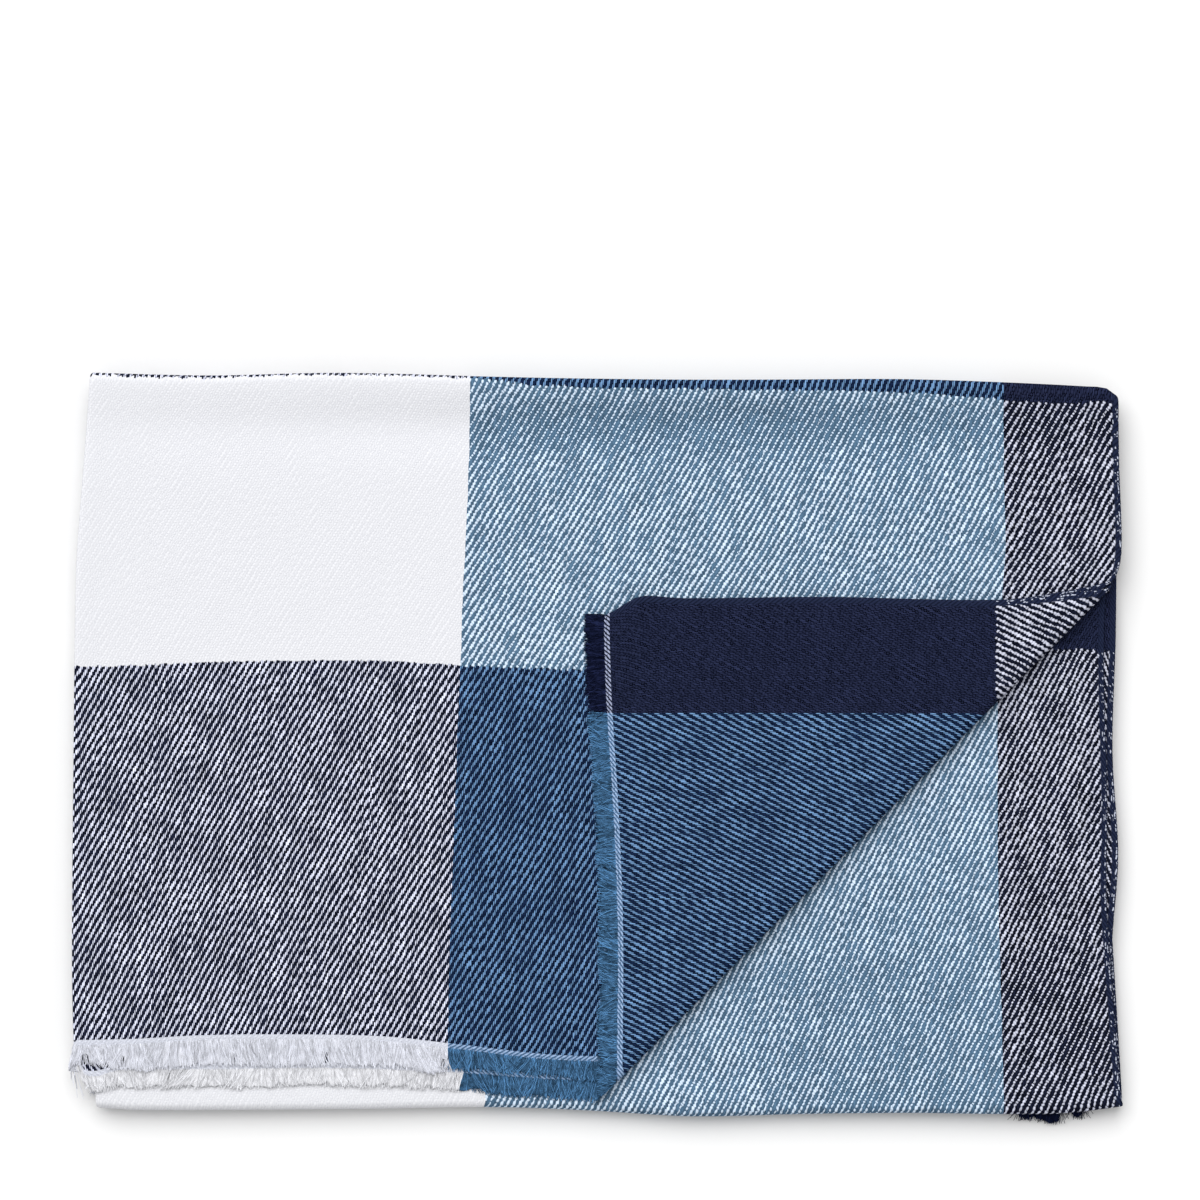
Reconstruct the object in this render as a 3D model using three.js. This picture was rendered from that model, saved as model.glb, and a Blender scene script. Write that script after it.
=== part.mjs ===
// A woven cotton throw, folded into a flat packet with one corner turned back over the top.
// Millimetres, +Z up, +Y towards the back fold, origin at the middle of the underside.
//
// The cloth is one sheet. It is folded in half across its width, which makes a pair of layers
// joined at the left, and the pair then runs back and forth four times along its length. The
// free corner of the top pair is folded back on a diagonal line, so its underside shows.
// A flat point of the cloth is (u, v): u runs across the width from the upper layer's selvedge,
// v runs along the length from the first fringed edge. w is the distance from the cloth's middle.
import * as THREE from "three";

const CLOTH_THICKNESS = 1.6;
const LAYER_PITCH = 2.6; // between the two layers of the width fold
const PASS_PITCH = 5.4; // between one pass of the pair and the next
const PASSES = 4;
const FOLDED_WIDTH = 650;
const FOLDED_LENGTH = 460;
const FIRST_EDGE = 46; // from the front fold to the first fringed edge, at the top of the packet
const LAST_EDGE = 14; // from the front fold to the last fringed edge, at the bottom
const CORNER_LINE = 318.75; // x - y along the diagonal fold

const WHITE_BLUE = 245; // where the lengthwise stripes meet, from the width fold
const BLUE_NAVY = 580;
const NAVY_WHITE = 280; // where the first two crosswise stripes meet, from the front fold

const FRINGE_LENGTH = 14.5;
const FRINGE_GAP = 0.9; // between the cloth's edge and the strip that carries the locks
const FRINGE_STRIP = 2.5;
const TOP_LOCKS = 130;
const UNDER_LOCKS = 80;
const LOCK_ROOT_SHARE = 0.76; // of the pitch
const LOCK_TIP_SHARE = 0.52;
const FLAP_DROOP = 3; // of the locks that hang over the turned corner's edge
const TOP_DROOP = 0.6;
const LOCK_SWAY = 0.9;
const LOCK_LENGTH_VARIES = 2.2;

const WIDE_STEP = 43; // between the mesh lines of the flat runs
const SELVEDGE_STEP = 18;
const EDGE_STEP = 20;
const FOLD_STEP = 9;
const FOLD_STEPS = 3;
const LONG_STEP = 41;
const HIDDEN_LONG_STEP = 90;
const TURN_STEPS = 4; // in each half turn
const CORNER_STEPS = 5;

const halfPitch = LAYER_PITCH / 2;
const pairHalf = halfPitch + CLOTH_THICKNESS / 2; // from the pair's middle to its outside
const turnRadius = PASS_PITCH / 2;
const turnNose = turnRadius + pairHalf;
const acrossRun = FOLDED_WIDTH - pairHalf;
const acrossTurn = Math.PI * halfPitch;
const clothWidth = 2 * acrossRun + acrossTurn;
const alongTurn = Math.PI * turnRadius;
const backCentre = FOLDED_LENGTH - turnNose;
const frontCentre = turnNose;
const passStarts = [FIRST_EDGE, backCentre, frontCentre, backCentre];
const passEnds = [backCentre, frontCentre, backCentre, LAST_EDGE];
const passRuns = passStarts.map((start, pass) => Math.abs(passEnds[pass] - start));
const clothLength = passRuns.reduce((sum, run) => sum + run, 0) + (PASSES - 1) * alongTurn;

// Where the lengthwise lines of each layer lie, in rows from the back fold to the front.
const upperFirst = [
  { y: 460, leftFold: 8.5, whiteBlue: 246, blueNavy: 580, selvedge: 651.5 },
  { y: 405, leftFold: 4.4, whiteBlue: 245, blueNavy: 580, selvedge: 652 },
  { y: 352, leftFold: 0.2, whiteBlue: 243, blueNavy: 581, selvedge: 653.5 },
  { y: 330, leftFold: -0.5, whiteBlue: 241.5, blueNavy: 579.5, selvedge: 650 },
  { y: 298, leftFold: -1.2, whiteBlue: 240.5, blueNavy: 578, selvedge: 643.5 },
  { y: 260, leftFold: -1.6, whiteBlue: 239, blueNavy: 576, selvedge: 638.5 },
  { y: 95, leftFold: -3.1, whiteBlue: 233, blueNavy: 571, selvedge: 637 },
  { y: 45, leftFold: -2, whiteBlue: 232, blueNavy: 570, selvedge: 636 },
];
const lowerFirst = [
  { y: 460, leftFold: 8.5, whiteBlue: 246, blueNavy: 580, selvedge: 651.5 },
  { y: 405, leftFold: 4.4, whiteBlue: 245, blueNavy: 579, selvedge: 650 },
  { y: 340, leftFold: -0.3, whiteBlue: 244, blueNavy: 573, selvedge: 649 },
  { y: 322, leftFold: -0.7, whiteBlue: 243.8, blueNavy: 571, selvedge: 645 },
  { y: 260, leftFold: -1.6, whiteBlue: 243, blueNavy: 568, selvedge: 638.6 },
  { y: 150, leftFold: -2.5, whiteBlue: 242.5, blueNavy: 568, selvedge: 640.3 },
  { y: 60, leftFold: -2.4, whiteBlue: 242, blueNavy: 568, selvedge: 639.5 },
  { y: 36, leftFold: -1.4, whiteBlue: 242, blueNavy: 568, selvedge: 639.5 },
  { y: 26, leftFold: -0.4, whiteBlue: 242, blueNavy: 568, selvedge: 635 },
  { y: 14, leftFold: 1, whiteBlue: 242, blueNavy: 568, selvedge: 629.5 },
];
const lowerSecond = [
  { y: 460, leftFold: 8.5, whiteBlue: 246, blueNavy: 580, selvedge: 651.5 },
  { y: 300, leftFold: 10, whiteBlue: 246, blueNavy: 577, selvedge: 643 },
  { y: 190, leftFold: 10.5, whiteBlue: 247, blueNavy: 576.5, selvedge: 645 },
  { y: 130, leftFold: 11, whiteBlue: 249, blueNavy: 577, selvedge: 644.5 },
  { y: 60, leftFold: 12, whiteBlue: 253, blueNavy: 579, selvedge: 649.5 },
  { y: 0, leftFold: 13.5, whiteBlue: 256, blueNavy: 580.5, selvedge: 654.5 },
];
const upperSecond = [
  { y: 460, leftFold: 8.5, whiteBlue: 246, blueNavy: 580, selvedge: 651.5 },
  { y: 300, leftFold: 10, whiteBlue: 246, blueNavy: 578, selvedge: 650.5 },
  { y: 226, leftFold: 10.5, whiteBlue: 246, blueNavy: 578, selvedge: 648.4 },
  { y: 160, leftFold: 11, whiteBlue: 247, blueNavy: 578, selvedge: 652 },
  { y: 100, leftFold: 11.5, whiteBlue: 250, blueNavy: 578, selvedge: 648 },
  { y: 0, leftFold: 13.5, whiteBlue: 255, blueNavy: 580, selvedge: 650 },
];
const underneath = [
  { y: 460, leftFold: 11, whiteBlue: 248, blueNavy: 579, selvedge: 645 },
  { y: 230, leftFold: 9, whiteBlue: 247, blueNavy: 577, selvedge: 643 },
  { y: 0, leftFold: 12.5, whiteBlue: 252, blueNavy: 579, selvedge: 647 },
];

// Where the crosswise lines lie, in columns from the width fold to the selvedge.
const upperFirstRows = [
  { x: 0, edge: 44.6, navyWhite: 279.6, back: 462.5 },
  { x: 40, edge: 45.3, navyWhite: 280.4, back: 461 },
  { x: 82, edge: 47.5, navyWhite: 282.3, back: 460.7 },
  { x: 140, edge: 48.1, navyWhite: 283.4, back: 462.3 },
  { x: 203, edge: 46.8, navyWhite: 283.1, back: 461.6 },
  { x: 250, edge: 42, navyWhite: 280, back: 460.2 },
  { x: 312, edge: 35.2, navyWhite: 277.8, back: 458.8 },
  { x: 390, edge: 34, navyWhite: 274, back: 458.1 },
  { x: 516, edge: 33, navyWhite: 266, back: 458.4 },
  { x: 580, edge: 32, navyWhite: 262, back: 456.5 },
  { x: 630, edge: 32, navyWhite: 260, back: 453.9 },
  { x: 650, edge: 32, navyWhite: 260, back: 447.5 },
];
const lowerFirstRows = [
  { x: 0, edge: 44.6, navyWhite: 279.6, back: 462.5 },
  { x: 9, edge: 37, navyWhite: 279, back: 462 },
  { x: 22, edge: 31, navyWhite: 278, back: 461.4 },
  { x: 82, edge: 29.4, navyWhite: 277, back: 460.7 },
  { x: 166, edge: 30, navyWhite: 276, back: 462.3 },
  { x: 246, edge: 27, navyWhite: 272, back: 460.2 },
  { x: 312, edge: 22.7, navyWhite: 268, back: 458.8 },
  { x: 437, edge: 23, navyWhite: 262, back: 458.1 },
  { x: 516, edge: 20.2, navyWhite: 259, back: 458.4 },
  { x: 585, edge: 16, navyWhite: 257.5, back: 456.3 },
  { x: 630, edge: 14.6, navyWhite: 257.5, back: 453.9 },
  { x: 650, edge: 14.5, navyWhite: 257.5, back: 447.5 },
];
const secondRows = [
  { x: 0, front: 3.5, back: 462.5 },
  { x: 82, front: 2.5, back: 460.7 },
  { x: 166, front: 2.5, back: 462.3 },
  { x: 256, front: 3, back: 460 },
  { x: 321, front: 0.9, back: 458.8 },
  { x: 380, front: -3.1, back: 458.1 },
  { x: 447, front: -1, back: 458.1 },
  { x: 516, front: -0.9, back: 458.4 },
  { x: 608, front: -1.5, back: 455.2 },
  { x: 630, front: 0.2, back: 453.9 },
  { x: 650, front: 3.4, back: 447.5 },
];
const thirdRows = [
  { x: 0, front: 3.5, back: 459 },
  { x: 256, front: 3, back: 457 },
  { x: 380, front: -3.1, back: 456 },
  { x: 516, front: -0.9, back: 455 },
  { x: 608, front: -1.5, back: 452 },
  { x: 650, front: 3.4, back: 447 },
];
const fourthRows = [
  { x: 0, edge: 21, back: 459 },
  { x: 300, edge: 20, back: 457 },
  { x: 450, edge: 18.5, back: 456 },
  { x: 540, edge: 13, back: 454 },
  { x: 650, edge: 8, back: 449 },
];
// A smooth value between the rows of a table, level beyond its ends.
function between(rows, key, at, name) {
  const increasing = rows[0][key] < rows[rows.length - 1][key];
  const sorted = increasing ? rows : [...rows].reverse();
  const last = sorted.length - 1;
  if (at <= sorted[0][key]) return sorted[0][name];
  if (at >= sorted[last][key]) return sorted[last][name];
  const next = sorted.findIndex((row) => row[key] > at);
  const from = sorted[next - 1];
  const to = sorted[next];
  const span = to[key] - from[key];
  const slopeAt = (index) => {
    const before = sorted[Math.max(0, index - 1)];
    const after = sorted[Math.min(last, index + 1)];
    return (after[name] - before[name]) / (after[key] - before[key]);
  };
  const t = (at - from[key]) / span;
  const bend = slopeAt(next - 1) * (1 - t) - slopeAt(next) * t;
  const rise = to[name] - from[name];
  return from[name] + rise * t * t * (3 - 2 * t) + bend * span * t * (1 - t);
}

// The value at a place among stations, in straight lines between them and on past the ends.
function among(stations, values, at) {
  let next = 1;
  while (next < stations.length - 1 && at > stations[next]) next++;
  const t = (at - stations[next - 1]) / (stations[next] - stations[next - 1]);
  return values[next - 1] + (values[next] - values[next - 1]) * t;
}

// Each pass of each layer, with the tables of its own lengthwise and crosswise lines.
const lengthwise = [
  [upperFirst, lowerFirst],
  [upperSecond, lowerSecond],
  [underneath, underneath],
  [underneath, underneath],
];
const crosswise = [
  [upperFirstRows, lowerFirstRows],
  [secondRows, secondRows],
  [thirdRows, thirdRows],
  [fourthRows, fourthRows],
];
const rowStations = [
  { edge: FIRST_EDGE, navyWhite: NAVY_WHITE, back: FOLDED_LENGTH },
  { front: 0, back: FOLDED_LENGTH },
  { front: 0, back: FOLDED_LENGTH },
  { edge: LAST_EDGE, back: FOLDED_LENGTH },
];
const columnStations = { leftFold: 0, whiteBlue: WHITE_BLUE, blueNavy: BLUE_NAVY, selvedge: FOLDED_WIDTH };

// The place in plan of a point of one pass and layer, from its place in a perfectly square packet.
function placeOf(pass, layer, squareX, squareY) {
  const rows = crosswise[pass][layer];
  const along = Object.entries(rowStations[pass]);
  const ys = along.map(([name]) => between(rows, "x", squareX, name));
  const y = among(along.map(([, station]) => station), ys, squareY);
  const across = Object.entries(columnStations);
  const xs = across.map(([name]) => between(lengthwise[pass][layer], "y", y, name));
  return [among(across.map(([, station]) => station), xs, squareX), y];
}

// Round the width fold: the place across the packet, the height above the pair's middle, and
// the layer, from 0 for the upper one to 1 for the lower.
function acrossFold(u, w) {
  if (u <= acrossRun) return { x: FOLDED_WIDTH - u, h: halfPitch + w, layer: 0 };
  const turn = (u - acrossRun) / halfPitch;
  if (turn < Math.PI) {
    const r = halfPitch + w;
    return { x: pairHalf - r * Math.sin(turn), h: r * Math.cos(turn), layer: turn / Math.PI };
  }
  return { x: pairHalf + u - acrossRun - acrossTurn, h: -(halfPitch + w), layer: 1 };
}

// Along the back and forth passes: the place from the front, the height, and the pass, with a
// fraction for how far the point is round the turn to the next one.
function alongPasses(v, h) {
  let rest = v;
  for (let pass = 0; ; pass++) {
    const way = pass % 2 ? -1 : 1;
    const level = pairHalf + (PASSES - 1 - pass) * PASS_PITCH;
    if (rest <= passRuns[pass] || pass === PASSES - 1)
      return { y: passStarts[pass] + way * rest, z: level + way * h, pass, turned: 0 };
    const turn = (rest - passRuns[pass]) / turnRadius;
    if (turn < Math.PI) {
      const r = turnRadius + way * h;
      return {
        y: passEnds[pass] + way * r * Math.sin(turn),
        z: level - turnRadius + r * Math.cos(turn),
        pass,
        turned: turn / Math.PI,
      };
    }
    rest -= passRuns[pass] + alongTurn;
  }
}

// How far past the start of the diagonal fold a point of the top pass lies.
function pastCorner(x, y) {
  return (x - y - CORNER_LINE) / Math.SQRT2 + turnNose;
}

// The packet stands a little fuller at its folds and dips in soft hollows between them. The
// share grows with height, so that the underside stays flat and no layer meets the next.
function fullness(x, y) {
  const back = 0.07 * Math.exp(-Math.abs(FOLDED_LENGTH - y) / 16);
  const left = 0.06 * Math.exp(-Math.abs(x) / 14);
  const front = 0.05 * Math.exp(-Math.abs(y) / 16);
  const behind = Math.exp(-(((y - 432) / 15) ** 2) - ((x - 320) / 130) ** 2);
  const swell = Math.sin(x / 74 + 0.6) * Math.sin(y / 58 + 0.9);
  const drift = Math.sin(x / 131 + y / 97 + 2.1);
  return back + left + front - 0.09 * behind + 0.028 * swell + 0.022 * drift;
}

const smooth = (t) => {
  const s = Math.min(1, Math.max(0, t));
  return s * s * (3 - 2 * s);
};

// The place in the packet of a flat point of the cloth, or of the fringe past its edges.
function folded(u, v, w) {
  const { x: squareX, h, layer } = acrossFold(u, w);
  const run = alongPasses(v, h);
  const places = [];
  for (const pass of [run.pass, Math.min(PASSES - 1, run.pass + 1)])
    for (const side of [0, 1]) places.push(placeOf(pass, side, squareX, run.y));
  const mix = (axis) => {
    const [upper, lower, nextUpper, nextLower] = places.map((place) => place[axis]);
    const here = upper + (lower - upper) * layer;
    const next = nextUpper + (nextLower - nextUpper) * layer;
    return here + (next - here) * run.turned;
  };
  let x = mix(0);
  let y = mix(1);
  let z = run.z;
  const beyond = v < 0 ? -v : 0;
  const past = run.pass === 0 && run.turned === 0 ? pastCorner(x, y) : -1;
  if (past > 0) {
    const turn = Math.min(Math.PI, past / turnRadius);
    const flat = Math.max(0, past - alongTurn);
    const r = turnRadius - h;
    const moved = r * Math.sin(turn) - flat;
    x += (moved - past) / Math.SQRT2;
    y -= (moved - past) / Math.SQRT2;
    z += turnRadius - h - r * Math.cos(turn);
    z -= FLAP_DROOP * layer * smooth(beyond / FRINGE_LENGTH) * smooth(flat / 10);
  } else {
    z -= (run.pass === 0 ? TOP_DROOP : 0) * smooth(beyond / FRINGE_LENGTH);
  }
  return new THREE.Vector3(x, y, z * (1 + fullness(x, y)));
}

// How far past the diagonal fold's start a flat point of the cloth lies, for its mesh lines.
function cornerPast([u, v]) {
  const { x: squareX, layer } = acrossFold(u, 0);
  const run = alongPasses(v, 0);
  if (run.pass > 0 || run.turned > 0 || (layer > 0 && layer < 1)) return -FOLDED_WIDTH;
  return pastCorner(...placeOf(0, layer, squareX, run.y));
}

// A flat mesh is { points: [[u, v], ...], faces: [[a, b, c], ...] }, its faces turning the same way.
// Splits the faces that cross the line where a measure of the flat point has one value.
function splitAt(mesh, measure, value) {
  const { points } = mesh;
  const side = points.map((point) => measure(point) - value);
  const made = new Map();
  const crossing = (a, b) => {
    const key = a < b ? `${a},${b}` : `${b},${a}`;
    if (!made.has(key)) {
      let [low, high] = side[a] < 0 ? [points[a], points[b]] : [points[b], points[a]];
      for (let step = 0; step < 24; step++) {
        const middle = [(low[0] + high[0]) / 2, (low[1] + high[1]) / 2];
        if (measure(middle) < value) low = middle;
        else high = middle;
      }
      made.set(key, points.push(high) - 1);
    }
    return made.get(key);
  };
  const tiny = 1e-6;
  const sign = (i) => (Math.abs(side[i]) < tiny ? 0 : Math.sign(side[i]));
  const faces = mesh.faces.flatMap((face) => {
    const signs = face.map(sign);
    if (!signs.includes(1) || !signs.includes(-1)) return [face];
    const onLine = signs.indexOf(0);
    if (onLine >= 0) {
      const [a, b, c] = [0, 1, 2].map((step) => face[(onLine + step) % 3]);
      const cut = crossing(b, c);
      return [[a, b, cut], [a, cut, c]];
    }
    const alone = signs.findIndex((s, i) => s !== signs[(i + 1) % 3] && s !== signs[(i + 2) % 3]);
    const [a, b, c] = [0, 1, 2].map((step) => face[(alone + step) % 3]);
    const [ab, ac] = [crossing(a, b), crossing(a, c)];
    return [[a, ab, ac], [ab, b, c], [ab, c, ac]];
  });
  return { points, faces };
}

// Splits a flat mesh along the lines where it bends round the diagonal fold.
function splitAtCorner(mesh) {
  for (let step = 0; step <= CORNER_STEPS; step++)
    mesh = splitAt(mesh, cornerPast, (alongTurn * step) / CORNER_STEPS);
  return mesh;
}

// The closed solid of a flat mesh, folded, with the cloth's thickness.
function thickCloth(mesh) {
  const half = CLOTH_THICKNESS / 2;
  const count = mesh.points.length;
  const positions = [];
  for (const w of [half, -half])
    for (const [u, v] of mesh.points) positions.push(...folded(u, v, w).toArray());
  const edges = new Set(mesh.faces.flatMap(([a, b, c]) => [`${a},${b}`, `${b},${c}`, `${c},${a}`]));
  const index = [];
  for (const [a, b, c] of mesh.faces) {
    index.push(a, b, c, count + a, count + c, count + b);
    for (const [from, to] of [[a, b], [b, c], [c, a]])
      if (!edges.has(`${to},${from}`))
        index.push(from, count + from, to, to, count + from, count + to);
  }
  return new THREE.BufferGeometry()
    .setAttribute("position", new THREE.Float32BufferAttribute(positions, 3))
    .setIndex(index);
}

// Even steps of about a given size from one value to another, without the first value.
function steps(from, to, size) {
  const count = Math.max(1, Math.round(Math.abs(to - from) / size));
  return Array.from({ length: count }, (_, i) => from + ((to - from) * (i + 1)) / count);
}

function clothMesh() {
  const turned = acrossRun + acrossTurn;
  const nearFold = turned + FOLD_STEPS * FOLD_STEP;
  const us = [
    0,
    SELVEDGE_STEP,
    ...steps(SELVEDGE_STEP, acrossRun, WIDE_STEP),
    ...steps(acrossRun, turned, acrossTurn / TURN_STEPS),
    ...steps(turned, nearFold, FOLD_STEP),
    ...steps(nearFold, clothWidth - SELVEDGE_STEP, WIDE_STEP),
    clothWidth,
  ];
  const vs = [0, EDGE_STEP];
  passRuns.forEach((run, pass) => {
    const size = pass < 2 ? LONG_STEP : HIDDEN_LONG_STEP;
    const start = vs[vs.length - 1];
    const end = pass ? start + run : run;
    vs.push(...steps(start, end, size));
    if (pass < PASSES - 1) vs.push(...steps(end, end + alongTurn, alongTurn / TURN_STEPS));
  });
  const points = us.flatMap((u) => vs.map((v) => [u, v]));
  const at = (i, j) => i * vs.length + j;
  const faces = [];
  for (let i = 0; i + 1 < us.length; i++)
    for (let j = 0; j + 1 < vs.length; j++) {
      const corners = [at(i, j), at(i, j + 1), at(i + 1, j + 1), at(i + 1, j)];
      const lowerLayer = us[i] >= acrossRun;
      const [a, b, c, d] = lowerLayer ? corners : [...corners.slice(1), corners[0]];
      faces.push([a, b, c], [a, c, d]);
    }
  return splitAtCorner({ points, faces });
}

// A repeatable uneven value from -1 to 1.
function uneven(seed) {
  const value = Math.sin(seed * 12.9898) * 43758.5453;
  return 2 * (value - Math.floor(value)) - 1;
}

// A strip along one cut edge, with a lock of yarn at each step. way is -1 before the cloth's
// first edge and 1 past its last one.
function fringeMesh(count, edge, way) {
  const pitch = clothWidth / count;
  const root = edge + way * FRINGE_GAP;
  const ledge = root + way * FRINGE_STRIP;
  const points = [];
  const faces = [];
  const face = (...corners) => faces.push(way > 0 ? corners : [...corners].reverse());
  const quad = (a, b, c, d) => {
    face(a, b, c);
    face(a, c, d);
  };
  const column = (u) => {
    points.push([u, root], [u, ledge]);
    return points.length - 2;
  };
  let before = column(0);
  for (let lock = 0; lock < count; lock++) {
    const middle = (lock + 0.5) * pitch;
    const half = (pitch * LOCK_ROOT_SHARE) / 2;
    const left = column(middle - half);
    const right = column(middle + half);
    quad(before, before + 1, left + 1, left);
    quad(left, left + 1, right + 1, right);
    const sway = LOCK_SWAY * uneven(lock + way);
    const length = FRINGE_LENGTH - FRINGE_GAP + (LOCK_LENGTH_VARIES / 2) * uneven(3 * lock + 5 * way);
    const tipHalf = (pitch * LOCK_TIP_SHARE) / 2;
    const tip = points.push([middle + sway - tipHalf, root + way * length]) - 1;
    points.push([middle + sway + tipHalf, root + way * length]);
    quad(left + 1, tip, tip + 1, right + 1);
    before = right;
  }
  const end = column(clothWidth);
  quad(before, before + 1, end + 1, end);
  let mesh = { points, faces };
  for (let step = 0; step <= TURN_STEPS; step++)
    mesh = splitAt(mesh, ([u]) => u, acrossRun + (acrossTurn * step) / TURN_STEPS);
  return way < 0 ? splitAtCorner(mesh) : mesh;
}

function yarnMaterial(colour) {
  return new THREE.MeshStandardMaterial({ color: colour, roughness: 0.95, metalness: 0 });
}

function piece(name, mesh, colour) {
  const made = new THREE.Mesh(thickCloth(mesh), yarnMaterial(colour));
  made.name = name;
  return made;
}

const throwBlanket = new THREE.Group();
throwBlanket.add(
  piece("cloth", clothMesh(), 0x8fa9c0),
  piece("fringe_top", fringeMesh(TOP_LOCKS, 0, -1), 0x3e6a92),
  piece("fringe_under", fringeMesh(UNDER_LOCKS, clothLength, 1), 0x20253d),
);

// The origin is at the middle of the underside.
const bounds = new THREE.Box3().setFromObject(throwBlanket, true);
const middle = bounds.getCenter(new THREE.Vector3());
for (const mesh of throwBlanket.children) mesh.position.set(-middle.x, -middle.y, 0);

export default throwBlanket;
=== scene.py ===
"""A cotton throw folded into a flat packet, with one corner turned back over the top.

The cloth is one woven sheet. A flat point of it has a place u across its width, from the upper
layer's selvedge, and a place v along its length, from the first fringed end. The packet's folds
are formulas of u and v, and the weave and its stripes are drawn on the same two numbers, so they
follow the cloth round each fold. Fold sizes and tables are in millimetres, and meshes in metres.
"""

import logging
import math
from dataclasses import dataclass, field
from enum import Enum

import bmesh
import bpy
import numpy as np
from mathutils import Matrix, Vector


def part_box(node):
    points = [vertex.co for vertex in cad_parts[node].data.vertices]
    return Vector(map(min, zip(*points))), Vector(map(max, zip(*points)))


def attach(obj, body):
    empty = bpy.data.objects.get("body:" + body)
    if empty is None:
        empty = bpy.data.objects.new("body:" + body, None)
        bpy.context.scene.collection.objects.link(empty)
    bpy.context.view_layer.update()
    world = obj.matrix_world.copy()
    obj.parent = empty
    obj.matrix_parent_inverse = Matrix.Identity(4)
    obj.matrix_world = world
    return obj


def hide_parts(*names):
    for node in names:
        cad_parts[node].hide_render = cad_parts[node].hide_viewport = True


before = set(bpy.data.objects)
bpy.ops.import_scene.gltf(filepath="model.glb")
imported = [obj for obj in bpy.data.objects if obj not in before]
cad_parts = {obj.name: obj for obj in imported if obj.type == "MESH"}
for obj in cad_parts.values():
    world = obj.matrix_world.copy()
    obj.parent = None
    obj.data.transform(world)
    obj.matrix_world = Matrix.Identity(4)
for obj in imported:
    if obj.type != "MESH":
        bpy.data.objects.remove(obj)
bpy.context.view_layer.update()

# A millimetre in metres, and a metre in millimetres.
MM = 0.001
METRE = 1000.0
# The levels between which a dye counts as the white one.
PALE_FROM = (0.4, 0.6)
# How the nodes of a tree are laid out on its page.
NODES_IN_A_ROW = 12
NODE_STEP = (180, 160)
# How many points find the packet's box.
PROBES_ACROSS = 1300
PROBES_ALONG = 350
Array = np.ndarray
Colour = tuple[float, float, float, float]
Socket = bpy.types.NodeSocket
# An input of a node: a number, a colour, a vector or another node's output.
Given = object
log = logging.getLogger("throw")


class CutEnd(Enum):
    """The cloth's two fringed ends, by the way that their fringe points along the length."""

    FIRST = -1
    LAST = 1


@dataclass(frozen=True)
class RowTable:
    """Smooth curves through the rows of a short table, level beyond its ends."""

    columns: tuple[str, ...]
    rows: tuple[tuple[float, ...], ...]

    def at(self, column: str, where: Array) -> Array:
        """Reads one column between the rows.

        Args:
            column: the column's name.
            where: places in the first column, in millimetres.

        Returns:
            The column's values at those places.
        """
        rows = np.array(sorted(self.rows))
        keys, values = rows[:, 0], rows[:, self.columns.index(column)]
        last = len(keys) - 1
        before = np.maximum(np.arange(last + 1) - 1, 0)
        after = np.minimum(np.arange(last + 1) + 1, last)
        slopes = (values[after] - values[before]) / (keys[after] - keys[before])
        inside = np.clip(where, keys[0], keys[-1])
        start = np.clip(np.searchsorted(keys, inside, side="right") - 1, 0, last - 1)
        span = keys[start + 1] - keys[start]
        t = (inside - keys[start]) / span
        rise = values[start + 1] - values[start]
        bend = slopes[start] * (1 - t) - slopes[start + 1] * t
        return values[start] + rise * t * t * (3 - 2 * t) + bend * span * t * (1 - t)


LENGTHWISE = ("y", "left_fold", "white_blue", "blue_navy", "selvedge")
UPPER_FIRST = RowTable(
    LENGTHWISE,
    (
        (460, 8.5, 246, 580, 651.5),
        (405, 4.4, 245, 580, 652),
        (352, 0.2, 243, 581, 653.5),
        (330, -0.5, 241.5, 579.5, 650),
        (298, -1.2, 240.5, 578, 643.5),
        (260, -1.6, 239, 576, 638.5),
        (95, -3.1, 233, 571, 637),
        (50, -2, 232, 570, 636),
        (36, -2, 232, 569, 633.5),
        (20, -2, 232, 567, 628.5),
    ),
)
LOWER_FIRST = RowTable(
    LENGTHWISE,
    (
        (460, 8.5, 246, 580, 651.5),
        (405, 4.4, 245, 579, 650),
        (340, -0.3, 244, 573, 649),
        (322, -0.7, 243.8, 571, 645),
        (260, -1.6, 243, 568, 638.6),
        (150, -2.5, 242.5, 568, 640.3),
        (60, -2.4, 242, 568, 639.5),
        (40, -1.4, 242, 568, 641),
        (33, -1, 242, 568, 640.3),
        (26, -0.4, 242, 568, 636.7),
        (20, 0.3, 242, 568, 632.8),
        (14, 1, 242, 568, 628.8),
    ),
)
LOWER_SECOND = RowTable(
    LENGTHWISE,
    (
        (460, 8.5, 246, 580, 651.5),
        (300, 10, 246, 577, 643),
        (190, 10.5, 247, 576.5, 645),
        (130, 11, 249, 577, 644.5),
        (60, 11.5, 253, 579, 649.5),
        (8, 11.5, 255.6, 580.3, 653.8),
        (0, 11.5, 256, 580.5, 656.5),
    ),
)
UPPER_SECOND = RowTable(
    LENGTHWISE,
    (
        (460, 8.5, 246, 580, 651.5),
        (300, 10, 246, 578, 650.5),
        (226, 10.5, 246, 578, 648.4),
        (160, 11, 247, 578, 652),
        (100, 11.5, 250, 578, 648),
        (0, 11.5, 255, 580, 650),
    ),
)
UNDERNEATH = RowTable(
    LENGTHWISE,
    (
        (460, 11, 248, 579, 645),
        (230, 9, 247, 577, 643),
        (0, 11.5, 252, 579, 655),
    ),
)
LAST_PASS = RowTable(
    LENGTHWISE,
    (
        (460, 11, 248, 579, 645),
        (230, 9, 247, 577, 643),
        (0, 11.5, 252, 579, 641.5),
    ),
)

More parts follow.
